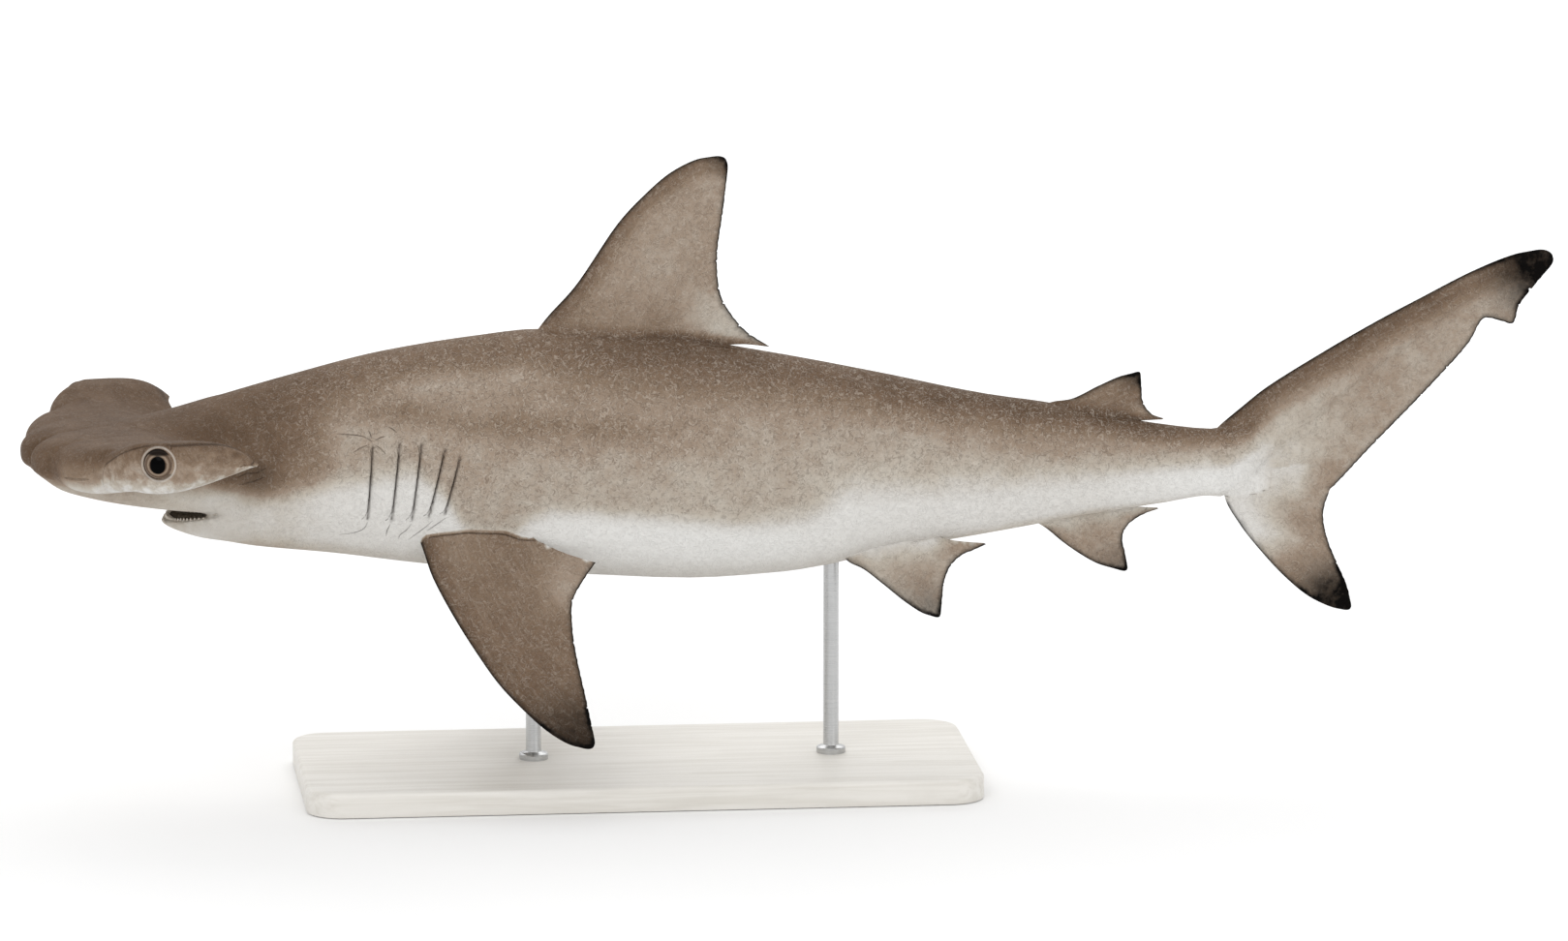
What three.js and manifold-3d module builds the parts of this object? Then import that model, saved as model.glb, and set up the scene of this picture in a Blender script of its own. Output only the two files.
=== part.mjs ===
// Young scalloped hammerhead shark, life size, held by a plain display stand.
// Millimetres, +Z up. The shark faces -X and its left side is -Y. The origin is the middle of the
// underside of the stand's base.
// The body is shaped straight, with x as the station behind the snout, y across and z up from the
// body's own level line. bendNeck() then turns the head a little to the left, as the last step.
import * as THREE from 'three';
import { mergeVertices } from 'three/addons/utils/BufferGeometryUtils.js';
import Module from 'manifold-3d';

const wasm = await Module();
wasm.setup();

// Driving dimensions.
const TAIL_TIP = 1005;
const HEAD_HALF_SPAN = 127;
const SEAM = 0.3;
const RING_SIDES = 24;
const WING_SIDES = 20;
const HEAD_END = 205;
const GILL_END = 292;
const TORSO_MIDDLE = 500;
const TORSO_END = 650;
const STALK_END = 786;
const STATION_STEP = 16;

// Neck bend: the head is yawed towards the left side.
const BEND_START = 120;
const BEND_END = 230;
const HEAD_YAW = THREE.MathUtils.degToRad(10.5);

// Stand.
const STAND_STATION = 400;
const BODY_LEVEL = 204;
const BASE_LENGTH = 440;
const BASE_WIDTH = 190;
const BASE_HEIGHT = 16;
const BASE_CORNER = 24;
const BASE_CHAMFER = 2;
const ROD_RADIUS = 5;
const ROD_STATIONS = { stand_rod_front: 333, stand_rod_rear: 528 };

// Trunk lines: [station, value].
const TOP_LINE = profile([[100, 51], [138, 60.4], [176, 69.8], [237, 84.2], [297, 93], [335, 96.5],
  [415, 91], [491, 78], [554, 65], [631, 48], [669, 42], [745, 26], [776, 22.5], [800, 24]]);
const BELLY_LINE = profile([[100, -30], [129, -36], [152, -40.7], [206, -47.5], [259, -55], [312, -61],
  [372, -65], [440, -68.5], [494, -66], [524, -62], [555, -55], [639, -42], [701, -32], [746, -26],
  [776, -22], [800, -24]]);
const HALF_WIDTH = profile([[100, 44], [129, 41.5], [160, 42.5], [206, 46], [240, 49], [300, 51],
  [360, 52], [430, 51], [503, 45.5], [593, 36], [669, 25.5], [746, 16.5], [800, 12]]);
const WIDEST_SHARE = 0.45;
const BACK_ROUNDNESS = 1.85;
const BELLY_ROUNDNESS = 2.3;

// Rostrum under and over the middle of the head, in front of the throat.
const SNOUT_TOP = profile([[8, 27], [20, 33], [60, 43], [100, 51], [138, 61], [150, 62]]);
const SNOUT_BOTTOM = profile([[8, 14], [22, 4], [37.5, -1], [53, -4.8], [76, -9.2], [96, -12.5],
  [117, -18], [150, -22]]);
const SNOUT_HALF = profile([[8, 22], [22, 33], [50, 43], [80, 48], [105, 50], [120, 46], [136, 41], [150, 36]]);
const SNOUT_MIDDLE = profile([[8, 21], [60, 17], [105, 14], [150, 12]]);
const SNOUT_ROUNDNESS = 3;
const SNOUT_START = 8;
const SNOUT_END = 150;

// Head wing, across the body: [distance from the middle, station or height].
const WING_FRONT = profile([[0, 5], [8, 2.7], [15, 2.2], [21, 3.4], [29, 5.5], [36, 9.7], [43, 11.5], [56, 15],
  [65, 18.5], [72, 23], [77, 29.5], [82, 37], [87, 40.5], [95, 43], [107, 51], [116, 59], [122, 69], [126, 84],
  [127, 95]]);
const WING_REAR = profile([[0, 150], [45, 140], [65, 130], [85, 124], [105, 122], [118, 123.5], [124, 125],
  [126, 113], [127, 100]]);
const WING_ABOVE = profile([[0, 12], [60, 12], [80, 11.5], [95, 13.5], [106, 15.8], [116, 15.5], [121, 12],
  [125, 7], [127, 1.5]]);
const WING_BELOW = profile([[0, 12], [40, 15], [60, 17], [106, 18], [115, 17], [121, 13], [125, 7], [127, 1.5]]);
const WING_FRONT_DROOP = profile([[0, 11], [40, 10], [80, 8], [100, 5], [127, 3]]);
const WING_NOSE = profile([[0, 26], [50, 22], [75, 14], [95, 10], [115, 12], [127, 6]]);
const WING_LEVEL = 36;
const NOSE_ROUNDNESS_ABOVE = 2.4;
const NOSE_ROUNDNESS_BELOW = 3;
const WING_TAPER = 1.7;
const WING_CROWDING = 1.25;
const WING_STATIONS = [0, 8, 15, 23, 30, 36, 44, 55, 65, 72, 77, 82, 88, 97, 106, 113, 118, 122, 125, 127];

// Jaw, mouth and teeth.
const JAW_FRONT = 91;
const JAW_END = 135;
const JAW_HALF = profile([[91, 4], [93, 10], [96, 16], [100, 22], [107, 29.5], [117, 37], [126, 40], [140, 41]]);
const JAW_MIDDLE = profile([[91, -21.5], [100, -18], [117, -10], [135, 8]]);
const JAW_BOTTOM = profile([[91, -23], [93.6, -25], [98.7, -27.5], [114, -32.8], [129, -36], [140, -38.4]]);
const JAW_TOP_START = [86, -22.6];
const JAW_TOP_END = [119, -14];
const MOUTH_INSET = 5;
const MOUTH_ROOF = -8;
const TOOTH_PITCH = 3.1;
const TOOTH_ROW_HALF = 29;
const TOOTH_HEIGHT = 3;
const LIP_RADIUS = 1.3;

// Eyes and nostrils.
const EYE_STATION = 62.8;
const EYE_OUT = 114.5;
const EYE_LEVEL = 38.6;
const EYE_RADIUS = 10.4;
const EYE_DEPTH = 7.4;
const EYE_TURN = THREE.MathUtils.degToRad(25);
const LID_RADIUS = 12;
const LID_DEPTH = 5.4;
const NOSTRIL = { out: 76, behind: 2.5, below: 11.5, long: 6.5, high: 2.6, deep: 3.4 };
const NOSTRIL_GROOVE = { from: 54, to: 73, below: 6.5, radius: 1.3 };

// Gill slits, head to tail: [station at mid height, lean of the slit, top, bottom].
const GILL_SLITS = [[223.5, 0.075, 30, -18], [240, 0.11, 32, -19], [253.5, 0.13, 31.5, -18.5],
  [266.5, 0.24, 27.5, -16], [277, 0.27, 22, -14.5]];
const SLIT_LEAN = profile([[205, 0], [223.5, 0.075], [240, 0.11], [253.5, 0.13], [266.5, 0.24], [277, 0.27],
  [292, 0]]);
const GILL_MIDDLE = 6;
const FLAP_RISE = 1.7;
const SLIT_DEPTH = 6;

// Fins of the middle plane: edges as [station, height], from the root to the tip.
const FIRST_DORSAL = {
  lead: [[324, 78], [342, 103], [361, 124], [390, 166], [406, 183], [423, 197], [440, 205], [451, 206.5]],
  trail: [[488, 82], [471, 94], [457, 114], [454, 128], [454, 147], [458, 178], [460, 203]],
  base: profile([[0, 0], [0.62, -6], [0.75, 2], [0.88, 2.5], [1, 0]]),
  thickness: 11, columns: 11, rows: 12,
};
const SECOND_DORSAL = {
  lead: [[655, 32], [671, 41.5], [686, 44], [703, 52], [717, 58], [725, 60]],
  trail: [[748, 29], [738, 33], [732.5, 41], [731.5, 51], [731, 58.5]],
  base: profile([[0, 0], [0.6, -5], [0.78, -1.5], [1, 0]]),
  thickness: 5, columns: 7, rows: 7,
};
const ANAL_FIN = {
  lead: [[650, -31], [668, -41], [680, -51], [691, -59], [703, -66], [715, -70]],
  trail: [[745, -29.8], [732, -34.5], [723, -41], [719.5, -49], [721.5, -60], [723, -68]],
  base: profile([[0, 0], [0.6, 7], [0.78, 2], [1, 0]]),
  thickness: 5, columns: 7, rows: 7,
};
const UPPER_LOBE = {
  lead: [[787, 22], [800, 36.5], [827, 55], [854, 73], [887, 92], [916, 107], [950, 124], [976, 134],
    [992, 136.5], [1001, 134.5]],
  trail: [[800, -26], [842, -30], [855, -21], [882, 7], [921, 47], [947, 76], [957, 92], [967, 90.5],
    [976, 88.5], [980, 100], [993, 117], [1004, 131]],
  base: profile([[0, 0], [1, 0]]),
  thickness: 5.5, columns: 9, rows: 14,
};
const LOWER_LOBE = {
  lead: [[787, -8], [787, -24], [797, -42], [811, -60], [827, -77.5], [843, -91], [858, -98.5], [866, -100.5]],
  trail: [[866, 0], [856, -21], [852, -36], [855, -53], [861, -68], [868, -84], [871, -96]],
  base: profile([[0, 0], [1, 0]]),
  thickness: 5.5, columns: 7, rows: 9,
};
const TAIL_AXIS = profile([[786, 0], [800, 6], [840, 40], [900, 82], [960, 118]]);
const TAIL_AXIS_HALF = profile([[786, 22.6], [800, 18], [840, 13], [900, 8], [960, 3]]);
const TAIL_AXIS_WIDTH = profile([[786, 12.8], [800, 11.6], [840, 8], [900, 4.2], [960, 1.6]]);

// Paired fins in their own plane: [along the body, outwards], from the root to the tip.
const PECTORAL = {
  lead: [[-3, -16], [1, 4], [4, 20], [14, 49], [26, 77], [38, 101], [51, 120], [64, 136], [77, 147], [86, 151]],
  trail: [[110, 23], [101, 34], [92, 48], [89.5, 66], [89.5, 84], [92, 117], [94, 145]],
  base: profile([[0, 0], [0.5, -17.5], [0.6, -12], [0.67, -8], [0.75, -4.5], [0.87, -1.5], [1, 0]]),
  thickness: 11, columns: 11, rows: 12,
  origin: [258, 42, -38], pitch: 5, droop: 55,
};
const PELVIC = {
  lead: [[-4, -9], [2, 2], [10, 9], [20, 22], [31, 37], [40, 47], [46, 51]],
  trail: [[93, 11], [84, 13], [74, 15], [65, 21], [59, 30], [55, 41], [52, 50]],
  base: profile([[0, 0], [0.45, -14], [0.62, -8], [0.8, -2.5], [1, 0]]),
  thickness: 5.5, columns: 9, rows: 7,
  origin: [535, 20, -56], pitch: 12, droop: 60,
};
const FIN_EDGE = 0.6;
const FIN_TIP_SHARE = 0.12;
const FIN_CREST = 0.27;
const RAY_RIDGE = 0.22;

const BACK = new THREE.MeshStandardMaterial({ color: 0x85766a, roughness: 0.55, metalness: 0 });
const FLANK = new THREE.MeshStandardMaterial({ color: 0x9a8b7d, roughness: 0.55, metalness: 0 });
const FIN = new THREE.MeshStandardMaterial({ color: 0x76685b, roughness: 0.6, metalness: 0 });
const EYE = new THREE.MeshStandardMaterial({ color: 0x3b2c20, roughness: 0.08, metalness: 0 });
const BASE = new THREE.MeshStandardMaterial({ color: 0xe4e0d8, roughness: 0.45, metalness: 0 });
const ROD = new THREE.MeshStandardMaterial({ color: 0xb9bcc0, roughness: 0.3, metalness: 1 });

// Smooth line through [key, value] pairs, with no overshoot between them.
function profile(pairs) {
  const steps = pairs.slice(1).map((p, i) => (p[1] - pairs[i][1]) / (p[0] - pairs[i][0]));
  const slopes = pairs.map((p, i) => {
    if (i === 0) return steps[0];
    if (i === pairs.length - 1) return steps[i - 1];
    return steps[i - 1] * steps[i] <= 0 ? 0 : 2 * steps[i - 1] * steps[i] / (steps[i - 1] + steps[i]);
  });
  return (key) => {
    const k = THREE.MathUtils.clamp(key, pairs[0][0], pairs[pairs.length - 1][0]);
    let i = 0;
    while (i < pairs.length - 2 && k > pairs[i + 1][0]) i += 1;
    const width = pairs[i + 1][0] - pairs[i][0];
    const t = (k - pairs[i][0]) / width;
    const rise = t * t * (3 - 2 * t);
    const enter = t * (1 - t) * (1 - t) * width;
    const leave = t * t * (t - 1) * width;
    return pairs[i][1] * (1 - rise) + pairs[i + 1][1] * rise + slopes[i] * enter + slopes[i + 1] * leave;
  };
}

function evenly(from, to, step) {
  const count = Math.max(1, Math.round((to - from) / step));
  return Array.from({ length: count + 1 }, (_, i) => from + (to - from) * i / count);
}

function signedPower(value, power) {
  return Math.sign(value) * Math.abs(value) ** power;
}

// Closed triangle mesh from points and triples, turned so that its faces point out.
function solidFrom(points, triples) {
  const geometry = new THREE.BufferGeometry();
  geometry.setAttribute('position', new THREE.Float32BufferAttribute(points.flatMap((p) => [p.x, p.y, p.z]), 3));
  geometry.setIndex(triples.flat());
  const merged = mergeVertices(geometry, 1e-4);
  const position = merged.getAttribute('position');
  const index = merged.getIndex();
  let volume = 0;
  const corners = [new THREE.Vector3(), new THREE.Vector3(), new THREE.Vector3()];
  const kept = [];
  for (let i = 0; i < index.count; i += 3) {
    const ids = [0, 1, 2].map((k) => index.getX(i + k));
    if (ids[0] === ids[1] || ids[1] === ids[2] || ids[2] === ids[0]) continue;
    kept.push(ids);
    ids.forEach((id, k) => corners[k].fromBufferAttribute(position, id));
    volume += corners[0].dot(corners[1].clone().cross(corners[2]));
  }
  const turned = volume < 0 ? kept.map(([a, b, c]) => [a, c, b]) : kept;
  return new wasm.Manifold(new wasm.Mesh({
    numProp: 3,
    vertProperties: new Float32Array(position.array),
    triVerts: new Uint32Array(turned.flat()),
  }));
}

// Closed solid through rings of equally many points, with a fan over each end.
function loft(rings) {
  const sides = rings[0].length;
  const points = rings.flat();
  const triples = [];
  for (let r = 0; r + 1 < rings.length; r += 1) {
    for (let k = 0; k < sides; k += 1) {
      const a = r * sides + k;
      const b = r * sides + (k + 1) % sides;
      triples.push([a, b, b + sides], [a, b + sides, a + sides]);
    }
  }
  [0, rings.length - 1].forEach((r) => {
    const centre = rings[r].reduce((sum, p) => sum.add(p), new THREE.Vector3()).divideScalar(sides);
    const hub = points.push(centre) - 1;
    for (let k = 0; k < sides; k += 1) {
      const a = r * sides + k;
      const b = r * sides + (k + 1) % sides;
      triples.push(r === 0 ? [hub, b, a] : [hub, a, b]);
    }
  });
  return solidFrom(points, triples);
}

// One ring of the body: half width, top, bottom and widest level at one station.
function bodyRing(station, half, top, bottom, middle, backPower, bellyPower, grow = 0, sides = RING_SIDES) {
  return Array.from({ length: sides }, (_, k) => {
    const angle = 2 * Math.PI * (k + 0.5) / sides;
    const up = Math.sin(angle) >= 0;
    const power = 2 / (up ? backPower : bellyPower);
    const reach = up ? top - middle : middle - bottom;
    return new THREE.Vector3(
      station,
      (half + grow) * signedPower(Math.cos(angle), power),
      middle + (reach + grow) * signedPower(Math.sin(angle), power),
    );
  });
}

function trunkRing(station, grow = 0) {
  const top = TOP_LINE(station);
  const bottom = BELLY_LINE(station);
  const middle = bottom + WIDEST_SHARE * (top - bottom);
  return bodyRing(station, HALF_WIDTH(station), top, bottom, middle, BACK_ROUNDNESS, BELLY_ROUNDNESS, grow);
}

function trunk(from, to, grow = 0) {
  return loft(evenly(from, to, STATION_STEP).map((station) => trunkRing(station, grow)));
}

// Gill region: its rings lean with the slits, and each flap rises towards its rear edge.
function gillRegion(from, to) {
  const stations = [from];
  GILL_SLITS.forEach(([station]) => stations.push(station - 1.2, station + 1.6));
  stations.push(to);
  stations.sort((a, b) => a - b);
  const rings = stations.map((station) => trunkRing(station).map((plain, k) => {
    const next = GILL_SLITS.find(([slit]) => slit > station - 0.2);
    const last = [...GILL_SLITS].reverse().find(([slit]) => slit < station);
    const start = last ? last[0] : 208;
    let rise = 0;
    if (next && station > start) rise = ((station - start) / (next[0] - start)) ** 1.5;
    const inner = THREE.MathUtils.smoothstep(26 - Math.abs(plain.z - GILL_MIDDLE), 0, 12);
    const level = THREE.MathUtils.clamp(plain.z, -30, 40) - GILL_MIDDLE;
    const p = trunkRing(station + SLIT_LEAN(station) * level)[k];
    p.y += Math.sign(p.y) * FLAP_RISE * rise * inner;
    return p;
  }));
  let region = loft(rings);
  GILL_SLITS.forEach((slit) => {
    region = region.subtract(gillCut(slit, 1)).subtract(gillCut(slit, -1));
  });
  return region;
}

function surfaceHalf(station, level) {
  const top = TOP_LINE(station);
  const bottom = BELLY_LINE(station);
  const middle = bottom + WIDEST_SHARE * (top - bottom);
  const share = level > middle ? (level - middle) / (top - middle) : (middle - level) / (middle - bottom);
  const power = level > middle ? BACK_ROUNDNESS : BELLY_ROUNDNESS;
  return HALF_WIDTH(station) * (1 - Math.min(share, 1) ** power) ** (1 / power);
}

// Thin slanted blade that frees the rear edge of one gill flap.
function gillCut([station, lean, top, bottom], side) {
  const rings = evenly(bottom, top, (top - bottom) / 5).map((level, i, all) => {
    const at = station + lean * (level - GILL_MIDDLE);
    const bow = Math.sin(Math.PI * i / (all.length - 1));
    const surface = surfaceHalf(station, level);
    const inner = surface - 1 - SLIT_DEPTH * bow ** 0.5;
    const outer = surface + 4;
    const gape = 0.35 + 0.5 * bow;
    return [[at + 2 - gape, outer], [at + 2 + gape, outer], [at - 3.4 + 0.3, inner], [at - 3.4 - 0.3, inner]]
      .map(([x, y]) => new THREE.Vector3(x, side * y, level));
  });
  return loft(rings);
}

// Snout and the middle of the head, in front of the throat.
function snout(grow = 0) {
  return loft(evenly(SNOUT_START - grow, SNOUT_END, 12).map((station) => bodyRing(
    station, SNOUT_HALF(station), SNOUT_TOP(station), SNOUT_BOTTOM(station), SNOUT_MIDDLE(station),
    BACK_ROUNDNESS, SNOUT_ROUNDNESS, grow,
  )));
}

// Height of the wing's middle sheet and its half thickness, at a distance out and behind its front edge.
function wingLevel(out, share) {
  return WING_LEVEL - WING_FRONT_DROOP(out) * (1 - share) ** 2;
}

function wingHalf(out, behind, chord, above) {
  const full = above ? WING_ABOVE(out) : WING_BELOW(out);
  const power = above ? NOSE_ROUNDNESS_ABOVE : NOSE_ROUNDNESS_BELOW;
  const nose = Math.min(WING_NOSE(out), 0.4 * chord);
  if (behind < nose) return full * (1 - (1 - behind / nose) ** power) ** (1 / power);
  return full * (1 - ((behind - nose) / (chord - nose)) ** WING_TAPER);
}

function wing() {
  const across = [...WING_STATIONS.slice(1).reverse().map((y) => -y), ...WING_STATIONS];
  return loft(across.map((y) => {
    const out = Math.abs(y);
    const front = WING_FRONT(out);
    const chord = WING_REAR(out) - front;
    return Array.from({ length: WING_SIDES }, (_, k) => {
      const angle = 2 * Math.PI * k / WING_SIDES;
      const share = ((1 - Math.cos(angle)) / 2) ** WING_CROWDING;
      const above = k < WING_SIDES / 2;
      const half = wingHalf(out, share * chord, chord, above) * (above ? 1 : -1);
      return new THREE.Vector3(front + share * chord, y, wingLevel(out, share) + half);
    });
  }));
}

function ellipsoid(centre, axisX, axisY, axisZ, widthSegments = 18, heightSegments = 10) {
  const geometry = new THREE.SphereGeometry(1, widthSegments, heightSegments);
  const matrix = new THREE.Matrix4().makeBasis(axisX, axisY, axisZ).setPosition(centre);
  geometry.applyMatrix4(matrix);
  return fromGeometry(geometry);
}

function fromGeometry(geometry) {
  const plain = geometry.clone();
  plain.deleteAttribute('normal');
  plain.deleteAttribute('uv');
  const merged = mergeVertices(plain, 1e-4);
  const position = merged.getAttribute('position');
  const points = Array.from({ length: position.count }, (_, i) => new THREE.Vector3().fromBufferAttribute(position, i));
  const index = merged.getIndex().array;
  const triples = [];
  for (let i = 0; i < index.length; i += 3) triples.push([index[i], index[i + 1], index[i + 2]]);
  return solidFrom(points, triples);
}

// Eye body, or the low mound of the lids around it, looking outwards and a little ahead.
function eyeBody(side, radius, depth, grow = 0) {
  const look = new THREE.Vector3(-Math.sin(EYE_TURN), side * Math.cos(EYE_TURN), 0);
  const along = new THREE.Vector3(Math.cos(EYE_TURN), side * Math.sin(EYE_TURN), 0);
  return ellipsoid(
    new THREE.Vector3(EYE_STATION, side * EYE_OUT, EYE_LEVEL),
    along.multiplyScalar(radius + grow),
    look.multiplyScalar(depth + grow),
    new THREE.Vector3(0, 0, radius + grow),
  );
}

// Round cord along a line of points, thinner to its ends.
function bead(points, radius, sides = 6) {
  const curve = new THREE.CatmullRomCurve3(points);
  const count = points.length * 2;
  const rings = Array.from({ length: count + 1 }, (_, i) => {
    const t = i / count;
    const centre = curve.getPoint(t);
    const tangent = curve.getTangent(t);
    const first = new THREE.Vector3(0, 0, 1).cross(tangent).normalize();
    const second = tangent.clone().cross(first);
    const size = radius * (0.35 + 0.65 * Math.sin(Math.PI * t) ** 0.5);
    return Array.from({ length: sides }, (_, k) => {
      const angle = 2 * Math.PI * k / sides;
      return centre.clone().addScaledVector(first, size * Math.cos(angle)).addScaledVector(second, size * Math.sin(angle));
    });
  });
  return loft(rings);
}

function nostrilCuts(side) {
  const at = NOSTRIL.out;
  const ahead = new THREE.Vector3(WING_FRONT(at + 4) - WING_FRONT(at - 4), side * 8, 0).normalize();
  const inward = new THREE.Vector3(-ahead.y * side, ahead.x * side, 0).multiplyScalar(-1);
  const centre = new THREE.Vector3(WING_FRONT(at) + NOSTRIL.behind, side * at, wingLevel(at, 0) - NOSTRIL.below);
  const hole = ellipsoid(centre, ahead.multiplyScalar(NOSTRIL.long), inward.multiplyScalar(NOSTRIL.deep),
    new THREE.Vector3(0, 0, NOSTRIL.high), 14, 8);
  const line = evenly(NOSTRIL_GROOVE.from, NOSTRIL_GROOVE.to, 4).map((out) => new THREE.Vector3(
    WING_FRONT(out) + 0.8, side * out, wingLevel(out, 0) - NOSTRIL_GROOVE.below,
  ));
  return [hole, bead(line, NOSTRIL_GROOVE.radius, 6)];
}

// Cone with four sides, standing on a point and leaning along a direction.
function tooth(foot, direction, height, width) {
  const geometry = new THREE.ConeGeometry(width / 2, height, 4, 1);
  geometry.translate(0, height / 2, 0);
  geometry.applyQuaternion(new THREE.Quaternion().setFromUnitVectors(new THREE.Vector3(0, 1, 0), direction));
  geometry.translate(foot.x, foot.y, foot.z);
  return fromGeometry(geometry);
}

function jawTop(station) {
  const t = (station - JAW_TOP_START[0]) / (JAW_TOP_END[0] - JAW_TOP_START[0]);
  return JAW_TOP_START[1] + t * (JAW_TOP_END[1] - JAW_TOP_START[1]);
}

function jawArch(out, inset) {
  return JAW_FRONT + inset + 25 * (out / 36) ** 2;
}

function lowerJaw() {
  const stations = [91, 92.2, 94, 96.5, 100, 104, 109, 114, 119, 124, 129.5, JAW_END];
  const whole = loft(stations.map((station) => bodyRing(
    station, JAW_HALF(station), JAW_MIDDLE(station) + 12, JAW_BOTTOM(station), JAW_MIDDLE(station),
    BELLY_ROUNDNESS, BELLY_ROUNDNESS,
  )));
  let jaw = whole.subtract(snout(SEAM)).subtract(mouthWedge());
  for (let out = -TOOTH_ROW_HALF; out <= TOOTH_ROW_HALF + 0.01; out += TOOTH_PITCH) {
    const at = jawArch(out, 3.2);
    const height = TOOTH_HEIGHT * (1 - 0.55 * (out / TOOTH_ROW_HALF) ** 2);
    const lean = new THREE.Vector3(0.25, -0.012 * out, 1).normalize();
    jaw = jaw.add(tooth(new THREE.Vector3(at, out, jawTop(at) - 1.2), lean, height + 1.2, 2.2));
  }
  return jaw.subtract(snout(SEAM));
}

// Space between the jaws, open to the front and closing at the mouth's corners.
function mouthWedge() {
  const [x0, z0] = JAW_TOP_START;
  const [x1, z1] = JAW_TOP_END;
  const outline = [[x0, z0], [x1, z1], [x1, 10], [x0, 10]];
  return loft([-60, 60].map((y) => outline.map(([x, z]) => new THREE.Vector3(x, y, z))));
}

function mouthHollow() {
  return loft([98, 101, 105, 110, 114, 117].map((station) => bodyRing(
    station, JAW_HALF(station - 2) - MOUTH_INSET, MOUTH_ROOF, -26, -16, 2.6, 2.6,
  )));
}

function head() {
  let solid = wing().add(snout()).add(trunk(JAW_END + SEAM, HEAD_END));
  const upperLip = evenly(-30, 30, 6).map((out) => {
    const at = jawArch(out, 3.5);
    return new THREE.Vector3(at, out, snoutUnder(at, out) + 0.2);
  });
  solid = solid.add(bead(upperLip, LIP_RADIUS)).subtract(mouthHollow());
  for (let out = -TOOTH_ROW_HALF + 1.5; out <= TOOTH_ROW_HALF - 1; out += TOOTH_PITCH) {
    const at = jawArch(out, 4.4);
    const height = 0.75 * TOOTH_HEIGHT * (1 - 0.5 * (out / TOOTH_ROW_HALF) ** 2);
    const lean = new THREE.Vector3(0.3, -0.01 * out, -1).normalize();
    solid = solid.add(tooth(new THREE.Vector3(at, out, snoutUnder(at, out) + 1.4), lean, height + 1.4, 2));
  }
  [1, -1].forEach((side) => {
    solid = solid.add(eyeBody(side, LID_RADIUS, LID_DEPTH)).subtract(eyeBody(side, EYE_RADIUS, EYE_DEPTH, SEAM));
    nostrilCuts(side).forEach((cut) => {
      solid = solid.subtract(cut);
    });
  });
  return solid;
}

function snoutUnder(station, out) {
  const middle = SNOUT_MIDDLE(station);
  const share = Math.min(Math.abs(out) / SNOUT_HALF(station), 1);
  return middle - (middle - SNOUT_BOTTOM(station)) * (1 - share ** SNOUT_ROUNDNESS) ** (1 / SNOUT_ROUNDNESS);
}

function edgeCurve(pairs) {
  const curve = new THREE.CatmullRomCurve3(pairs.map(([a, b]) => new THREE.Vector3(a, b, 0)));
  curve.arcLengthDivisions = 400;
  return curve;
}

// Thickness of a fin: rounded ahead, thin behind and at the tip, with low rays towards its rear edge.
function finThickness(fin, across, up, column) {
  const crest = across < FIN_CREST
    ? (across / FIN_CREST) ** 0.6
    : ((1 - across) / (1 - FIN_CREST)) ** 1.15;
  const taper = FIN_TIP_SHARE + (1 - FIN_TIP_SHARE) * (1 - up) ** 1.25;
  const ray = column % 2 === 1 ? RAY_RIDGE * THREE.MathUtils.smoothstep(across, 0.3, 0.6) : 0;
  return FIN_EDGE + fin.thickness * taper * crest + ray;
}

// Closed fin between its leading and trailing edges. place() puts a point of the fin's own plane,
// with a height off that plane, in the body.
function finSolid(fin, place) {
  const lead = edgeCurve(fin.lead);
  const trail = edgeCurve(fin.trail);
  const { columns, rows } = fin;
  const faces = [1, -1].map((side) => {
    const points = [];
    for (let j = 0; j <= rows; j += 1) {
      const up = j / rows;
      const a = lead.getPointAt(up);
      const b = trail.getPointAt(up);
      for (let i = 0; i <= columns; i += 1) {
        const across = i / columns;
        const x = a.x + (b.x - a.x) * across;
        const z = a.y + (b.y - a.y) * across + (1 - up) ** 3 * fin.base(across);
        points.push(place(x, z, side * finThickness(fin, across, up, i) / 2));
      }
    }
    return points;
  });
  const points = faces.flat();
  const offset = faces[0].length;
  const id = (i, j) => j * (columns + 1) + i;
  const triples = [];
  for (let j = 0; j < rows; j += 1) {
    for (let i = 0; i < columns; i += 1) {
      const [a, b, c, d] = [id(i, j), id(i + 1, j), id(i + 1, j + 1), id(i, j + 1)];
      triples.push([a, b, c], [a, c, d]);
      triples.push([a + offset, c + offset, b + offset], [a + offset, d + offset, c + offset]);
    }
  }
  const rim = [];
  for (let i = 0; i < columns; i += 1) rim.push(id(i, 0));
  for (let j = 0; j < rows; j += 1) rim.push(id(columns, j));
  for (let i = columns; i > 0; i -= 1) rim.push(id(i, rows));
  for (let j = rows; j > 0; j -= 1) rim.push(id(0, j));
  rim.forEach((a, k) => {
    const b = rim[(k + 1) % rim.length];
    triples.push([b, a, a + offset], [b, a + offset, b + offset]);
  });
  return solidFrom(points, triples);
}

const uprightPlace = (x, z, off) => new THREE.Vector3(x, off, z);

function pairedPlace(fin, side) {
  const pitch = THREE.MathUtils.degToRad(fin.pitch);
  const droop = THREE.MathUtils.degToRad(fin.droop);
  const along = new THREE.Vector3(Math.cos(pitch), 0, Math.sin(pitch));
  const out = new THREE.Vector3(0, side * Math.cos(droop), -Math.sin(droop));
  out.addScaledVector(along, -out.dot(along)).normalize();
  const normal = along.clone().cross(out);
  const [station, half, level] = fin.origin;
  return (x, z, off) => new THREE.Vector3(station, side * half, level)
    .addScaledVector(along, x).addScaledVector(out, z).addScaledVector(normal, off);
}

function upright(fin) {
  return finSolid(fin, uprightPlace).subtract(grownTrunk);
}

function paired(fin, side) {
  return finSolid(fin, pairedPlace(fin, side)).subtract(grownTrunk);
}

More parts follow.
